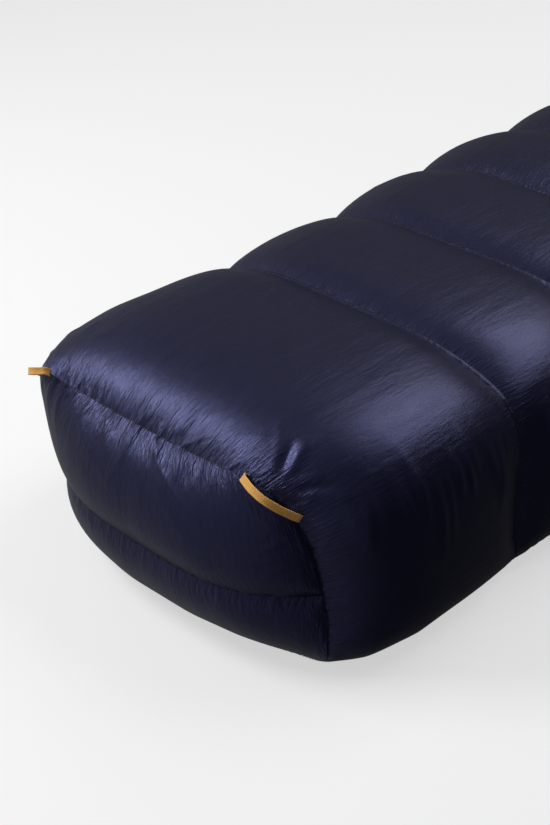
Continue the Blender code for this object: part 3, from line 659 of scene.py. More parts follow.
shell_cloth = glossy_nylon("shell_nylon", NAVY, DEEP_NAVY, 0.36)
for k in range(1, CHAMBERS + 1):
    columns, cell = FINE_MESHES[k - 1] if k <= len(FINE_MESHES) else FAR_MESH
    gathered = END_GATHER if k == 1 else BAFFLE_GATHER
    grid = settled_chamber(chamber_rows(k, cell, columns), k, gathered)
    if k <= 2:
        grid = finer(grid)
    if k == 1:
        grid = folds(grid, corner_folds(1, 21) + corner_folds(-1, 22))
        grid = puckers(grid, "first", 0.0058, 0.0010, 0.016, 31, width=0.34)
        grid = puckers(grid, "first", 0.014, 0.0018, 0.030, 32, width=0.20, lean=0.35)
    else:
        grid = puckers(grid, "first", 0.0085, 0.0007, 0.012, 30 + k)
    if k <= len(FINE_MESHES):
        low_y, high_y = grid[0, 0, 1] + 0.03, grid[-1, 0, 1]
        for side in (1, -1):
            hanging = shoulder_folds(side, low_y, high_y, 60 + 2 * k + side)
            grid = folds(grid, hanging, seen=(0.16, 1.0, 1.0))
    grid = puckers(grid, "last", 0.0075, 0.0008, 0.011, 40 + k)
    sewn = (("first", 0.034 if k == 1 else 0.016), ("last", 0.016))
    flat = (FLAT_GIRTH, 0.3 if k == 1 else 0.2)
    chamber = cloth_mesh(f"shell_chamber_{k:02d}", grid, flat, sewn)
    shell_cloth.put_on(chamber)
    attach(chamber, "quilt")
    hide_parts(f"down_fill_{k:02d}")
    if k == 1:
        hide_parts("shell_upper", "shell_ground_panel")


# ---- End panel -------------------------------------------------------------------------
# The toe end is closed by its own panel of the same nylon, gathered onto the end seam all
# round. A baffle inside it is caught in a crosswise seam, which parts it into an upper and a
# lower bulge.
CREASE_HEIGHT = 0.090
CREASE_LEAD = 0.039       # how far the middle of the crease stands in front of the end seam
CREASE_SINK = 0.0035      # how deep the crease's own seam is pulled in
TOP_CORNER = 0.195        # height at which the end seam turns down at the top corners
LOW_CORNER = 0.018        # and turns in under the panel at the lower ones
RIGHT_CORNER = 4.0        # how squarely the panel turns its right corner
LEFT_CORNER = 2.8         # and its left one
UPPER_BULGE = 0.016
LOWER_BULGE = 0.017
PANEL_FLAT = (0.44, 0.16)
PANEL_CELL = 0.005
PANEL_COLUMNS = 121
PANEL_GATHER = 1.010      # the most cloth for its place, in either direction


def seam_part(side, low, high, count):
    """Part of the end seam's side between two heights, from the higher down to the lower."""
    half = end_seam_half(side)
    outer = half[np.abs(half[:, 0]) > 0.10]
    outer = outer[(outer[:, 2] <= high + 1e-6) & (outer[:, 2] >= low - 1e-6)]
    return turned_in(even_points(outer[::-1], count))


def patch(top, bottom, left, right):
    """A surface between four edges; top and bottom run left to right, the sides downwards."""
    u = np.linspace(0.0, 1.0, len(top))[None, :, None]
    v = np.linspace(0.0, 1.0, len(left))[:, None, None]
    flat = (1 - v) * top[None] + v * bottom[None] + (1 - u) * left[:, None] + u * right[:, None]
    flat -= (1 - u) * (1 - v) * top[0] + u * (1 - v) * top[-1]
    flat -= (1 - u) * v * bottom[0] + u * v * bottom[-1]
    return flat


def crease_line(count):
    """The crosswise seam, bowed forward between the end seam's left and right sides."""
    left, right = (seam_part(side, CREASE_HEIGHT, TOP_CORNER, 9)[-1] for side in (-1, 1))
    x = np.linspace(left[0], right[0], 400)
    side = np.where(x > 0, (x / right[0]) ** RIGHT_CORNER, np.abs(x / left[0]) ** LEFT_CORNER)
    back = np.where(x > 0, right[1], left[1])
    front = FOOT_Y - CREASE_LEAD
    line = np.column_stack([x, front + (back - front) * side, np.full(400, CREASE_HEIGHT)])
    return even_points(line, count)


def level_part(top):
    """The end seam's top edge, or its edge on the ground, from the left side to the right."""
    halves = []
    for side in (-1, 1):
        half = end_seam_half(side)
        corner = np.argmin(np.abs(half[:, 2] - (TOP_CORNER if top else LOW_CORNER)))
        halves.append(half[corner:] if top else half[corner::-1])
    left, right = halves
    return turned_in(even_points(np.vstack([left, right[-2::-1]]), PANEL_COLUMNS))


def bulged(grid, size, peak):
    """Push a patch forward, most at its middle, and least near its four edges."""
    v = np.linspace(0.0, 1.0, grid.shape[0])[:, None] ** peak
    u = np.linspace(-1.0, 1.0, grid.shape[1])[None]
    lift = size * np.sin(np.pi * v) ** 0.7
    lift = lift * (1.0 - np.abs(u) ** np.where(u > 0, RIGHT_CORNER, LEFT_CORNER))
    out = grid.copy()
    out[..., 1] -= lift
    return out


def panel_patch(top, bottom, low, high, size, peak, seed):
    """One bulge of the panel, gathered onto its four edges."""
    rows = int(round((high - low) / PANEL_CELL * 1.15))
    sides = [seam_part(side, low, high, rows) for side in (-1, 1)]
    sides[0][0], sides[0][-1] = top[0], bottom[0]
    sides[1][0], sides[1][-1] = top[-1], bottom[-1]
    grid = bulged(patch(top, bottom, *sides), size, peak)
    across = np.linalg.norm(np.diff(grid, axis=1), axis=2)
    down = np.linalg.norm(np.diff(grid, axis=0), axis=2)
    widths, heights = across.mean(axis=1), down.mean(axis=0)
    slack_round = np.clip(widths.max() / widths, 1.0, PANEL_GATHER)[:, None]
    slack_round = slack_round * uneven(across.shape, (3, 14), 1.0, 1.008, seed)
    slack_down = np.clip(heights.max() / heights, 1.0, PANEL_GATHER)[None]
    slack_down = slack_down * uneven(down.shape, (5, 8), 1.0, 1.010, seed + 1)
    return finer(settle(grid, slack_down, slack_round, seed))


def ring_folds(seed):
    """Shallow creases in arcs below the right top corner."""
    rng = np.random.default_rng(seed)
    corner = np.array((0.160, FOOT_Y - 0.005, 0.195))
    lines = []
    for k in range(16):
        out = 0.030 + 0.0075 * k
        middle = math.radians(-62 + rng.uniform(-14, 14))
        half = math.radians(rng.uniform(9, 22))
        ends = []
        for turn in (middle - half, middle + half):
            reach = np.array((math.cos(turn) - 0.3, 0.0, math.sin(turn)))
            ends.append(corner + out * reach)
        lines.append((ends[0], ends[1], 0.0030, rng.uniform(-0.0004, 0.0009)))
    return lines


crease = crease_line(PANEL_COLUMNS)
crease[:, 1] += CREASE_SINK
upper = panel_patch(level_part(True), crease, CREASE_HEIGHT, TOP_CORNER, UPPER_BULGE, 0.85, 71)
lower = panel_patch(crease, level_part(False), LOW_CORNER, CREASE_HEIGHT, LOWER_BULGE, 1.0, 72)
upper = puckers(upper, "first", 0.0062, 0.0010, 0.018, 73, width=0.34)
upper = puckers(upper, "first", 0.016, 0.0024, 0.042, 74, width=0.20, lean=0.25)
upper = puckers(upper, "left", 0.009, 0.0006, 0.018, 75)
upper = puckers(upper, "right", 0.009, 0.0009, 0.024, 76)
upper = puckers(upper, "last", 0.009, 0.0006, 0.012, 77)
upper = folds(upper, ring_folds(78), seen=(1.0, 0.0, 1.0))
lower = puckers(lower, "first", 0.008, 0.0008, 0.014, 79)
lower = puckers(lower, "left", 0.009, 0.0006, 0.018, 80)
lower = puckers(lower, "right", 0.009, 0.0006, 0.022, 81)
for name, grid, stood_for in (
    ("end_panel_upper", upper, ("foot_end_panel", "foot_end_fill_upper")),
    ("end_panel_lower", lower, ("foot_end_fill_lower", "foot_end_baffle")),
):
    sewn = (("first", 0.040 if grid is upper else 0.016), ("right", 0.022), ("left", 0.016))
    panel = cloth_mesh(name, grid, PANEL_FLAT, sewn)
    shell_cloth.put_on(panel)
    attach(panel, "quilt")
    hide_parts(*stood_for)


# ---- Baffle seams ----------------------------------------------------------------------
# Between two chambers the shell is sewn down to a wall of fine mesh that holds it to the
# liner. A narrow band of shell is caught in each seam, ruffled by its lockstitch.
BAND_ROWS = 7
BAND_RISE = 0.0011        # how far the ruffles stand up
BAND_ARCH = 0.0006        # and the band between them
BAND_PITCH = 0.0042       # from one ruffle to the next
STITCH_PITCH = 0.0040
STITCH_LENGTH = 0.0027
STITCH_THICK = 0.00035
STITCH_PROUD = 0.0008     # how far the end seam's stitches stand out of its groove
LINER_DEPTH = 0.031       # from the shell down to the liner
THREAD = (0.004, 0.004, 0.010, 1.0)
PALE_THREAD = (0.010, 0.010, 0.022, 1.0)
NET_BLACK = (0.012, 0.012, 0.018, 1.0)
NET_GREY = (0.03, 0.03, 0.04, 1.0)


def stitches(name, line, normals):
    """A row of lockstitches along a line: one small bar for each stitch."""
    run = along(line)
    points, faces = [], []
    for start in np.arange(0.5 * STITCH_PITCH, run[-1] - STITCH_PITCH, STITCH_PITCH):
        at = np.array((start, start + 0.5 * STITCH_LENGTH, start + STITCH_LENGTH))
        middle = np.stack([np.interp(at, run, line[:, k]) for k in range(3)], axis=1)
        up = np.stack([np.interp(at, run, normals[:, k]) for k in range(3)], axis=1)
        forward = middle[2] - middle[0]
        aside = np.cross(forward, up)
        aside *= STITCH_THICK / (np.linalg.norm(aside, axis=1)[:, None] + 1e-12)
        crown = up * STITCH_THICK * np.array((0.2, 1.4, 0.2))[:, None]
        first = len(points)
        for p, a, c in zip(middle, aside, crown):
            points += [p - a, p + c, p + a]
        for k in (0, 3):
            b = first + k
            faces += [(b, b + 1, b + 4, b + 3), (b + 1, b + 2, b + 5, b + 4)]
    return new_piece(name, points, faces)


thread = Finish("sewing_thread", 0.5, cloth=False)
thread.colour(thread.noise(300.0), THREAD, PALE_THREAD)
thread.raised(thread.ribs(0.0004, "DIAGONAL"), 0.0001)

net = Finish("baffle_mesh_cloth", 0.7)
net.colour(net.noise(60.0), NET_BLACK, NET_GREY)
net.raised(net.ribs(0.0012, "X"), 0.0003)
net.raised(net.ribs(0.0012, "Y"), 0.0003)

end_line = end_seam_ring(480)
end_out = end_line - END_HEART
end_out /= np.linalg.norm(end_out, axis=1)[:, None]
end_sewing = stitches("end_seam_stitching", end_line + STITCH_PROUD * end_out, end_out)
thread.put_on(end_sewing)
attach(end_sewing, "quilt")

for k, seam_y in enumerate(SEAM_YS, start=1):
    columns = 480 if k <= len(FINE_MESHES) else 220
    middle_row = BAND_ROWS // 2
    band = np.array([
        girth_ring(seam_y + across * SEAM_BAND * 1.15, columns, SEAM_SINK)
        for across in np.linspace(-0.5, 0.5, BAND_ROWS)
    ])
    run = along(band[middle_row])
    rng = np.random.default_rng(200 + k)
    ruffle = np.zeros(len(run))
    for middle in np.arange(0.0, run[-1], BAND_PITCH):
        middle += rng.uniform(-0.4, 0.4) * BAND_PITCH
        near = np.abs(run - middle) < 4 * BAND_PITCH
        shape = np.exp(-(((run[near] - middle) / (0.30 * BAND_PITCH)) ** 2))
        ruffle[near] += rng.uniform(0.3, 1.0) * shape
    arch = np.cos(np.pi * np.linspace(-0.62, 0.5, BAND_ROWS)) * 0.8 + 0.2
    rise = BAND_RISE * ruffle[None] * arch[:, None] + BAND_ARCH * arch[:, None]
    rise *= clear_of_ground(band)
    normals = surface_normals(band)
    band = band + normals * rise[..., None]
    seam_band = cloth_mesh(f"seam_band_{k:02d}", band, (FLAT_GIRTH, SEAM_BAND))
    shell_cloth.put_on(seam_band)
    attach(seam_band, "quilt")
    sewing = stitches(f"seam_stitching_{k:02d}", band[middle_row], normals[middle_row])
    thread.put_on(sewing)
    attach(sewing, "quilt")

    outer = girth_ring(seam_y, 160, SEAM_SINK + 0.001)
    inner = girth_ring(seam_y, 160, 0.0, LINER_DEPTH - 0.004)
    wall = np.array([outer + (inner - outer) * share for share in np.linspace(0.0, 1.0, 5)])
    wall[1:-1, :, 1] += uneven((3, wall.shape[1]), (1, 40), -0.0022, 0.0022, 220 + k)
    net_wall = cloth_mesh(f"baffle_wall_{k:02d}_net", wall, (1.4, LINER_DEPTH))
    net.put_on(net_wall)
    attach(net_wall, "quilt")
    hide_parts(f"baffle_wall_{k:02d}")


# ---- Liner -----------------------------------------------------------------------------
# The inside is a plain, soft taffeta tube and an end piece of the same cloth. It is caught
# in every baffle seam, and the down swells it inwards between the seams.
LINER_SWELL = 0.006       # how far the down swells it inwards between two seams
LINER_BLUE = (0.0100, 0.0120, 0.0270, 1.0)
LINER_SHADE = (0.0060, 0.0072, 0.0170, 1.0)
LINER_COLUMNS = 140
LINER_START = FOOT_Y + LINER_DEPTH
NECK_THICK = 0.020        # from shell to liner at the neck hem

liner_cloth = Finish("liner_taffeta", 0.55)
liner_cloth.shader.inputs["Sheen Weight"].default_value = 0.12
liner_cloth.colour(liner_cloth.noise(7.0, 4.0), LINER_BLUE, LINER_SHADE)
liner_cloth.raised(liner_cloth.noise((60.0, 20.0, 20.0), 5.0, 0.6), 0.0030)
liner_cloth.raised(liner_cloth.ribs(0.0008, "X"), 0.00003)
liner_cloth.raised(liner_cloth.ribs(0.0008, "Y"), 0.00003)


def liner_depth(y):
    """How far inside the shell the liner runs: least at its seams and at the neck."""
    gap = min(abs(y - seam) for seam in SEAM_YS)
    depth = LINER_DEPTH - LINER_SWELL * (1.0 - min(1.0, gap / PUFF_REACH)) ** 2
    return depth + (NECK_THICK - depth) * smooth_step((y - NECK_Y + 0.08) / 0.08)


def liner_ring(y):
    """The liner's girth; near the end it follows the end seam, well inside it."""
    ring = girth_ring(y, LINER_COLUMNS, 0.0, liner_depth(y))
    left = max(0.0, 1.0 - (y - LINER_START) / END_REACH) ** END_FADE
    if left > 0.0:
        toe = end_seam_ring(LINER_COLUMNS)
        toe = (toe - (0.0, 0.0, 0.10)) * (0.86, 1.0, 0.70) + (0.0, LINER_DEPTH, 0.10)
        ring = ring + (toe - girth_ring(LINER_START, LINER_COLUMNS, 0.0, LINER_DEPTH)) * left
    return ring


liner_ys = np.linspace(LINER_START, NECK_Y, 150)
liner_grid = np.array([liner_ring(y) for y in liner_ys])
liner_girths = [float(along(ring)[-1]) for ring in liner_grid]
liner_flat = (max(liner_girths), float(liner_ys[-1] - liner_ys[0]))
ripple = uneven(liner_grid.shape[:2], (90, 60), -1.0, 1.0, 301)
ripple += 0.6 * uneven(liner_grid.shape[:2], (200, 100), -1.0, 1.0, 302)
crush = np.array([min(abs(y - seam) for seam in SEAM_YS) for y in liner_ys])
ripple *= (0.0012 + 0.0012 * np.exp(-crush / 0.03))[:, None]
ripple[[0, -1]] = 0.0
liner_grid = liner_grid - surface_normals(liner_grid) * ripple[..., None]
liner_tube = cloth_mesh("liner_tube", liner_grid, liner_flat)
liner_cloth.put_on(liner_tube)
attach(liner_tube, "quilt")
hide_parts("liner")

end_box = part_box("foot_end_liner")
end_ring = liner_grid[0]
end_middle = np.array((0.0, FOOT_Y - 0.004, 0.5 * (end_box[0].z + end_box[1].z)))
end_rows = []
for share in np.linspace(0.02, 1.0, 26):
    ring = end_middle + (end_ring - end_middle) * share
    ring[:, 1] = end_middle[1] + (end_ring[:, 1] - end_middle[1]) * share**3
    end_rows.append(ring)
end_grid = np.array(end_rows)
end_grid[:, :, 1] += uneven(end_grid.shape[:2], (9, 26), -0.0025, 0.0025, 303)
end_arcs = [float(along(end_grid[:, column])[-1]) for column in range(LINER_COLUMNS)]
end_spread = (end_arcs[int(np.argmin(end_ring[:, 0]))] + end_arcs[int(np.argmax(end_ring[:, 0]))],
              end_arcs[0] + end_arcs[LINER_COLUMNS // 2])
end_lining = cloth_mesh("end_lining", end_grid[::-1], end_spread)
liner_cloth.put_on(end_lining)
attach(end_lining, "quilt")
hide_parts("foot_end_liner")


# ---- Foot loops ------------------------------------------------------------------------
# A short piece of narrow ochre webbing is sewn into the end seam over each top corner. Its
# two ends go into the seam and its middle stands off the cloth.
LOOP_WIDTH = 0.008
LOOP_THICK = 0.0013
SELVEDGE = 0.0002         # how much thicker the two woven edges are
LOOP_HIDDEN = 0.012       # length of each end inside the seam
LOOP_ARCH = ((0.10, 0.36), (0.28, 0.80), (0.50, 1.0), (0.72, 0.80), (0.90, 0.36))
OCHRE = (0.86, 0.47, 0.100, 1.0)
DARK_OCHRE = (0.62, 0.27, 0.040, 1.0)
# side, both ends on the end seam, how far the middle stands off, and which way
LOOPS = (
    ("right", (0.133, 0.004, 0.2065), (0.187, 0.026, 0.1740), 0.021, (0.34, -0.80, 0.44)),
    ("left", (-0.155, -0.003, 0.2080), (-0.182, 0.007, 0.1920), 0.014, (-0.34, -0.80, 0.22)),
)


def smooth_path(points, count):
    """An even, round line through a few chosen points."""
    points = np.asarray(points, float)
    ends = np.vstack([2 * points[0] - points[1], points, 2 * points[-1] - points[-2]])
    line = []
    for a, b, c, d in zip(ends[:-3], ends[1:-2], ends[2:-1], ends[3:]):
        for t in np.linspace(0.0, 1.0, 16, endpoint=False):
            line.append(0.5 * (2 * b + (c - a) * t + (2 * a - 5 * b + 4 * c - d) * t**2
                               + (3 * b - a - 3 * c + d) * t**3))
    return even_points(np.vstack([line, points[-1]]), count)


# a tape's thickness at shares of its half width
TAPE_PROFILE = (
    (-1.0, 0.35), (-0.97, 0.95), (-0.80, 1.0), (-0.55, 0.82), (0.0, 0.80),
    (0.55, 0.82), (0.80, 1.0), (0.97, 0.95), (1.0, 0.35),
)


def tape(name, path, aside, width, thick, selvedge=SELVEDGE, ruffle=0.0, seed=0):
    """Flat woven tape along a path: two faces with thicker woven edges, and cut ends."""
    path = np.asarray(path, float)
    tangent = np.gradient(path, axis=0)
    tangent /= np.linalg.norm(tangent, axis=1)[:, None]
    aside = np.broadcast_to(np.asarray(aside, float), path.shape)
    aside = aside - tangent * np.sum(aside * tangent, axis=1)[:, None]
    aside = aside / np.linalg.norm(aside, axis=1)[:, None]
    face = np.cross(tangent, aside)
    across, high = np.array(TAPE_PROFILE).T
    high = 0.5 * thick * high + selvedge * (np.abs(across) > 0.7) * (np.abs(across) < 0.99)
    section = np.concatenate([across, across[::-1]])
    lift = np.concatenate([high, -high[::-1]])
    wave = uneven((len(path), 2), (max(2, len(path) // 5), 1), -ruffle, ruffle, seed)[:, 0]
    rings = (
        path[:, None]
        + aside[:, None] * (0.5 * width * section)[None, :, None]
        + face[:, None] * lift[None, :, None]
        + face[:, None] * (wave[:, None] * np.abs(section)[None] ** 2)[..., None]
    )
    closed = np.concatenate([rings, rings[:, :1]], axis=1)
    piece = cloth_mesh(name, closed, (2 * width, float(along(path)[-1])))
    shape = bmesh.new()
    shape.from_mesh(piece.data)
    cloth = shape.verts.layers.float_vector["cloth"]
    columns = closed.shape[1]
    run = along(path)
    for vertex in shape.verts:
        row, column = divmod(vertex.index, columns)
        vertex[cloth] = (section[column % len(section)] * 0.5 * width, run[row], 0.0)
    bmesh.ops.remove_doubles(shape, verts=shape.verts, dist=1e-7)
    bmesh.ops.holes_fill(shape, edges=shape.edges, sides=0)
    bmesh.ops.recalc_face_normals(shape, faces=shape.faces)
    shape.to_mesh(piece.data)
    shape.free()
    piece.data.shade_smooth()
    return piece


def webbing_finish(name, one, other, pitch, roughness=0.62):
    """Flat woven narrow fabric: ribs across, fine threads along, a little fuzz and wear."""
    woven = Finish(name, roughness)
    woven.shader.inputs["Sheen Weight"].default_value = 0.25
    woven.colour(woven.noise((250.0, 60.0, 60.0), 4.0), one, other)
    woven.raised(woven.ribs(pitch, "Y"), 0.00016)
    woven.raised(woven.ribs(0.7 * pitch, "DIAGONAL"), 0.00012)
    woven.raised(woven.noise(900.0, 3.0), 0.00010)
    return woven


ochre = webbing_finish("ochre_webbing_weave", OCHRE, DARK_OCHRE, 0.0010)
for side, start, end, bow, out in LOOPS:
    start, end = np.array(start), np.array(end)
    start[1] += FOOT_Y
    end[1] += FOOT_Y
    out = np.array(out) / np.linalg.norm(out)
    inward = np.array((math.copysign(0.4, -start[0]), 0.7, -0.5)) * LOOP_HIDDEN
    chord = end - start
    arch = [start + chord * share + out * bow * rise for share, rise in LOOP_ARCH]
    route = [start + inward, start, *arch, end, end + inward]
    loop = tape(f"foot_loop_{side}_webbing", smooth_path(route, 72), np.cross(chord, out),
                LOOP_WIDTH, LOOP_THICK)
    ochre.put_on(loop)
    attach(loop, f"foot_loop_{side}")
    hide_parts(f"foot_loop_{side}")


# ---- Slit edges ------------------------------------------------------------------------
# Both long edges of the slit are bound with a folded tape that closes the chambers off. A
# blank care label is caught in the left one.
BINDING_THICK = 0.0012
TAPE_BLUE = (0.010, 0.011, 0.024, 1.0)
TAPE_SHADE = (0.018, 0.019, 0.036, 1.0)
LABEL_WHITE = (0.62, 0.62, 0.59, 1.0)
LABEL_GREY = (0.52, 0.52, 0.50, 1.0)

binding_weave = webbing_finish("binding_tape_weave", TAPE_BLUE, TAPE_SHADE, 0.0012, 0.7)
for side, sign in (("left", -1), ("right", 1)):
    low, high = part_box(f"edge_binding_{side}")
    ys = np.linspace(low.y, high.y, 320)
    x = sign * np.array([max(slit_half(y), 0.6 * abs(low.x)) for y in ys])
    path = np.column_stack([x, ys, np.full(len(ys), 0.5 * (low.z + high.z) - 0.001)])
    binding = tape(f"edge_binding_{side}_tape", path, (0.0, 0.0, 1.0), high.z - low.z - 0.004,
                   BINDING_THICK, ruffle=0.0006, seed=310 + sign)
    binding_weave.put_on(binding)
    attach(binding, "quilt")
    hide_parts(f"edge_binding_{side}")

low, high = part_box("care_label")
label_y = 0.5 * (low.y + high.y)
label_path = smooth_path(
    [(low.x, label_y, high.z - 0.001), (low.x + 0.012, label_y, high.z - 0.0015),
     (low.x + 0.020, label_y, 0.006), (high.x, label_y, low.z + 0.0006)], 30)
label = tape("care_label_cloth", label_path, (0.0, 1.0, 0.0), high.y - low.y, 0.0005, 0.00005)
label_weave = webbing_finish("label_satin", LABEL_WHITE, LABEL_GREY, 0.0005, 0.55)
label_weave.put_on(label)
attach(label, "quilt")
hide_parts("care_label")


# ---- Neck hem --------------------------------------------------------------------------
# The neck is finished with a doubled channel of shell nylon, gathered by the elastic
# drawcord that runs inside it and topstitched where it joins the last chamber.
HEM_COLUMNS = 400
HEM_SECTION = 13          # points round the channel's section
BRAID_BLACK = (0.012, 0.012, 0.014, 1.0)
BRAID_GREY = (0.035, 0.035, 0.038, 1.0)
BRAID_PITCH = 0.0012
hem_low, hem_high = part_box("neck_hem")
HEM_LENGTH = hem_high.y - hem_low.y

hem_rows = []
outer_ring = girth_ring(NECK_Y, HEM_COLUMNS, SEAM_SINK - 0.002)
inner_ring = girth_ring(NECK_Y, HEM_COLUMNS, 0.0, NECK_THICK)
for turn in np.linspace(0.0, math.pi, HEM_SECTION):
    share = 0.5 - 0.5 * math.copysign(abs(math.cos(turn)) ** 0.6, math.cos(turn))
    ring = outer_ring + (inner_ring - outer_ring) * share
    ring[:, 1] = NECK_Y + (HEM_LENGTH - 0.0015) * math.sin(turn) ** 0.55
    hem_rows.append(ring)
hem_grid = np.array(hem_rows)
hem_grid = hem_grid + surface_normals(hem_grid) * (
    uneven(hem_grid.shape[:2], (3, 150), -0.0010, 0.0008, 401)
    + uneven(hem_grid.shape[:2], (2, 260), -0.0007, 0.0007, 402)
)[..., None]
hem_grid[..., 2] = np.maximum(hem_grid[..., 2], 0.0003)
hem = cloth_mesh("neck_hem_channel", hem_grid, (FLAT_GIRTH, 0.06))
shape = bmesh.new()
shape.from_mesh(hem.data)
shape.verts.ensure_lookup_table()
for column in (0, hem_grid.shape[1] - 1):
    loop = [shape.verts[row * hem_grid.shape[1] + column] for row in range(HEM_SECTION)]
    shape.faces.new(loop if column else loop[::-1])
shape.to_mesh(hem.data)
shape.free()
hem_cloth = glossy_nylon("hem_nylon", NAVY, DEEP_NAVY, 0.42)
hem_cloth.put_on(hem)
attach(hem, "quilt")
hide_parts("neck_hem")
hem_normals = surface_normals(hem_grid)
for number, row in ((1, 2), (2, HEM_SECTION - 3)):
    sewing = stitches(f"hem_stitching_{number}", hem_grid[row] + hem_normals[row] * 0.0002,
                      hem_normals[row])
    thread.put_on(sewing)
    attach(sewing, "quilt")

braid = Finish("elastic_braid", 0.6, cloth=False)
braid.shader.inputs["Sheen Weight"].default_value = 0.2
braid.colour(braid.noise(400.0), BRAID_BLACK, BRAID_GREY)
braid.raised(braid.ribs(BRAID_PITCH, "DIAGONAL"), 0.0004)
braid.raised(braid.ribs(BRAID_PITCH, "DIAGONAL", math.pi / 2), 0.0004)
braid.put_on(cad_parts["neck_drawcord"])


# ---- Moulded fittings ------------------------------------------------------------------
# The cord lock, the cord's end bead, the cap of the snap and the strap buckles are moulded
# in black acetal with a fine spark-eroded grain.
ACETAL_BLACK = (0.010, 0.010, 0.011, 1.0)
ACETAL_GREY = (0.020, 0.020, 0.022, 1.0)
plastic = Finish("moulded_acetal", 0.38, ior=1.48, cloth=False)
plastic.colour(plastic.noise(25.0), ACETAL_BLACK, ACETAL_GREY)
plastic.roughness(plastic.noise(120.0, 4.0), 0.30, 0.48)
plastic.raised(plastic.noise(2600.0, 2.0), 0.00004)
plastic.raised(plastic.noise(60.0, 2.0), 0.00010)
for name in (
    "neck_cord_lock_body", "neck_cord_lock_button", "neck_cord_end", "neck_snap_cap",
    "ground_strap_1_buckle_socket", "ground_strap_1_buckle_tongue",
    "ground_strap_2_buckle_socket", "ground_strap_2_buckle_tongue",
):
    plastic.put_on(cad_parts[name])


# ---- Spring and snap -------------------------------------------------------------------
# The spring behind the lock's button is a short cone of steel wire, whose turns fold into
# each other. The stud and socket of the snap are pressed from sheet and have the same finish.
SPRING_TURNS = 3
SPRING_STEPS = 18 * SPRING_TURNS + 1
SPRING_CONE = 0.45        # radius of its narrow end, as a share of the wide one
SPRING_WIRE = 0.00022     # radius of the wire
STEEL_GREY = (0.50, 0.50, 0.52, 1.0)
STEEL_PALE = (0.62, 0.62, 0.63, 1.0)
spring_low, spring_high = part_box("neck_cord_lock_spring")
spring_middle = 0.5 * (spring_low + spring_high)
spring_radius = 0.5 * (spring_high.x - spring_low.x) - SPRING_WIRE
cone = spring_radius * np.linspace(1.0, SPRING_CONE, SPRING_STEPS)
turns = np.linspace(0.0, 2.0 * math.pi * SPRING_TURNS, SPRING_STEPS)
coil = np.column_stack([
    spring_middle.x + cone * np.cos(turns),
    np.linspace(spring_low.y + SPRING_WIRE, spring_high.y - SPRING_WIRE, SPRING_STEPS),
    spring_middle.z + cone * np.sin(turns),
])
radial = np.column_stack([np.cos(turns), np.zeros(SPRING_STEPS), np.sin(turns)])
lengthwise = np.array((0.0, 1.0, 0.0))
wire = np.array([
    coil + SPRING_WIRE * (radial * math.cos(turn) + lengthwise * math.sin(turn))
    for turn in np.linspace(0.0, 2.0 * math.pi, 7)
])
spring = cloth_mesh("neck_cord_lock_coil", wire[::-1], (0.001, 0.08))
steel = Finish("satin_steel", 0.28, metallic=1.0, cloth=False)
steel.colour(steel.noise(90.0), STEEL_GREY, STEEL_PALE)
steel.roughness(steel.noise((500.0, 500.0, 20.0), 4.0), 0.20, 0.38)
steel.raised(steel.noise((1500.0, 1500.0, 60.0), 3.0), 0.00002)
steel.put_on(spring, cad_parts["neck_snap_stud"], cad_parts["neck_snap_socket"])
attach(spring, "cord_lock")
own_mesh(spring)
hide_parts("neck_cord_lock_spring")


# ---- Neck tab and ground straps --------------------------------------------------------
# Plain black webbing: a tab across the slit at the neck, held by a snap, and two straps
# under the body, each in two halves that are sewn to the slit's edges and meet in a buckle.
WEB_BLACK = (0.010, 0.010, 0.011, 1.0)
WEB_GREY = (0.026, 0.026, 0.028, 1.0)
WEB_THICK = 0.0011
STRAP_POINTS = 40
STRAP_SAG = 0.0010
black_weave = webbing_finish("black_webbing_weave", WEB_BLACK, WEB_GREY, 0.0011, 0.68)

tab_low, tab_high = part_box("neck_snap_tab")
tab_y = 0.5 * (tab_low.y + tab_high.y)
deck = tab_low.z + 0.5 * WEB_THICK
raised = tab_high.z - 0.5 * WEB_THICK - SELVEDGE
tab_path = smooth_path(
    [(tab_low.x, tab_y, deck), (-0.075, tab_y, deck), (-0.050, tab_y, deck + 0.0003),
     (-0.034, tab_y, 0.5 * (deck + raised)), (-0.018, tab_y, raised - 0.0003),
     (0.010, tab_y, raised), (0.060, tab_y, raised), (tab_high.x, tab_y, raised)], 90)
tab = tape("neck_tab_webbing", tab_path, (0.0, 1.0, 0.0), tab_high.y - tab_low.y, WEB_THICK)
black_weave.put_on(tab)
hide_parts("neck_snap_tab")
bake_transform(tab)

for strap in (1, 2):
    for side in ("left", "right"):
        low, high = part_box(f"ground_strap_{strap}_webbing_{side}")
        y, z = 0.5 * (low.y + high.y), 0.5 * (low.z + high.z)
        outer_end, inner_end = (low.x, high.x) if side == "left" else (high.x, low.x)
        xs = np.linspace(outer_end, inner_end, STRAP_POINTS)
        sag = STRAP_SAG * np.sin(np.pi * np.linspace(0.0, 1.0, STRAP_POINTS))
        path = np.column_stack([xs, np.full(STRAP_POINTS, y), z - sag])
        half = tape(f"ground_strap_{strap}_{side}_webbing", path, (0.0, 1.0, 0.0),
                    high.y - low.y, WEB_THICK)
        black_weave.put_on(half)
        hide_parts(f"ground_strap_{strap}_webbing_{side}")
        if side == "left":
            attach(half, "quilt")
        else:
            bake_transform(half)


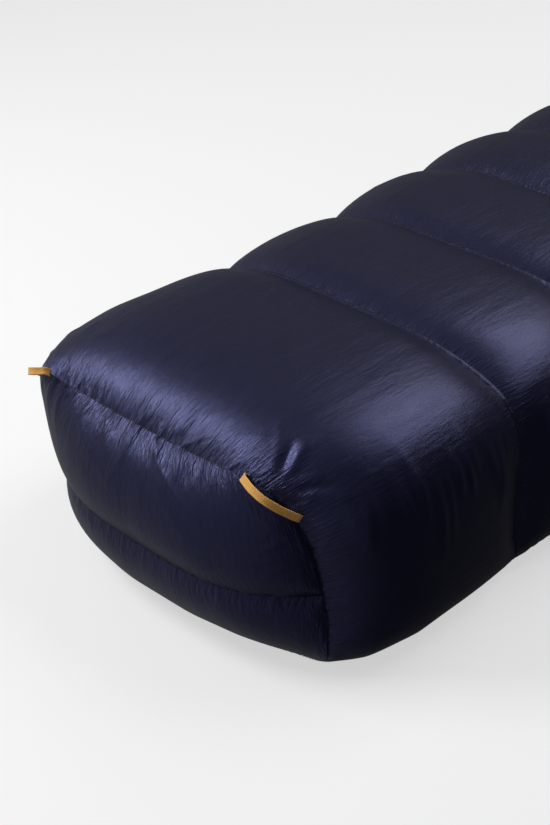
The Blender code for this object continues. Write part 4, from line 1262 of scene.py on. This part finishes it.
# ---- Floor and light -------------------------------------------------------------------
# A pale seamless paper floor, lit by two soft boxes: one close to the left of the foot end
# and one high above the neck. The sky is brighter in front and on the left than behind.
FLOOR_SIZE = 120.0
FLOOR_TONE = (0.30, 0.30, 0.30, 1.0)
FLOOR_GLOW = 0.58         # the paper is lit from below as well, so shadows stay faint
WHITE = (1.0, 1.0, 1.0, 1.0)
PALE = (0.87, 0.87, 0.87, 1.0)
SKY_BRIGHTEST = (-0.58, -0.80, 0.16)    # direction in which the sky is brightest
SKY_FROM, SKY_TO = -0.70, 0.95          # between which it turns from dim to bright
SKY_DIM, SKY_BRIGHT = 0.05, 0.42
SOFT_BOXES = (
    # place, aimed at, width, height, power
    ((-1.30, FOOT_Y - 0.75, 1.75), (0.0, FOOT_Y + 0.10, 0.12), 0.9, 0.9, 40.0),
    ((0.30, FOOT_Y + 2.40, 3.00), (0.0, FOOT_Y + 0.40, 0.12), 2.4, 1.8, 60.0),
)
half = 0.5 * FLOOR_SIZE
corners = [(-half, -half, 0.0), (half, -half, 0.0), (half, half, 0.0), (-half, half, 0.0)]
floor = new_piece("floor", corners, [(0, 1, 2, 3)])
paper = Finish("floor_paper", 0.95, cloth=False)
paper.shader.inputs["Base Color"].default_value = FLOOR_TONE
paper.shader.inputs["Emission Color"].default_value = WHITE
paper.shader.inputs["Emission Strength"].default_value = FLOOR_GLOW
paper.put_on(floor)
floor.visible_glossy = False
floor.visible_diffuse = False

for place, target, width, height, power in SOFT_BOXES:
    light = bpy.data.lights.new("soft_box", "AREA")
    light.shape = "RECTANGLE"
    light.size, light.size_y, light.energy = width, height, power
    lamp = bpy.data.objects.new("soft_box", light)
    lamp.location = place
    lamp.rotation_euler = (Vector(target) - Vector(place)).to_track_quat("-Z", "Y").to_euler()
    bpy.context.scene.collection.objects.link(lamp)

world = bpy.data.worlds.new("studio")
world.use_nodes = True
bpy.context.scene.world = world
sky_nodes, sky_links = world.node_tree.nodes, world.node_tree.links
sky_turn = sky_nodes.new("ShaderNodeTexCoord")
sky_side = sky_nodes.new("ShaderNodeVectorMath")
sky_side.operation = "DOT_PRODUCT"
sky_side.inputs[1].default_value = SKY_BRIGHTEST
sky_range = sky_nodes.new("ShaderNodeMapRange")
sky_range.interpolation_type = "SMOOTHSTEP"
sky_range.inputs["From Min"].default_value = SKY_FROM
sky_range.inputs["From Max"].default_value = SKY_TO
sky_range.inputs["To Min"].default_value = SKY_DIM
sky_range.inputs["To Max"].default_value = SKY_BRIGHT
sky_links.new(sky_turn.outputs["Generated"], sky_side.inputs[0])
sky_links.new(sky_side.outputs["Value"], sky_range.inputs["Value"])
sky_nodes["Background"].inputs["Color"].default_value = WHITE
sky_links.new(sky_range.outputs["Result"], sky_nodes["Background"].inputs["Strength"])
backdrop = sky_nodes.new("ShaderNodeBackground")
backdrop.inputs["Color"].default_value = PALE
sky_ray = sky_nodes.new("ShaderNodeLightPath")
sky_mix = sky_nodes.new("ShaderNodeMixShader")
sky_links.new(sky_ray.outputs["Is Camera Ray"], sky_mix.inputs["Fac"])
sky_links.new(sky_nodes["Background"].outputs["Background"], sky_mix.inputs[1])
sky_links.new(backdrop.outputs["Background"], sky_mix.inputs[2])
sky_links.new(sky_mix.outputs["Shader"], sky_nodes["World Output"].inputs["Surface"])
bpy.context.scene.view_settings.view_transform = "Standard"
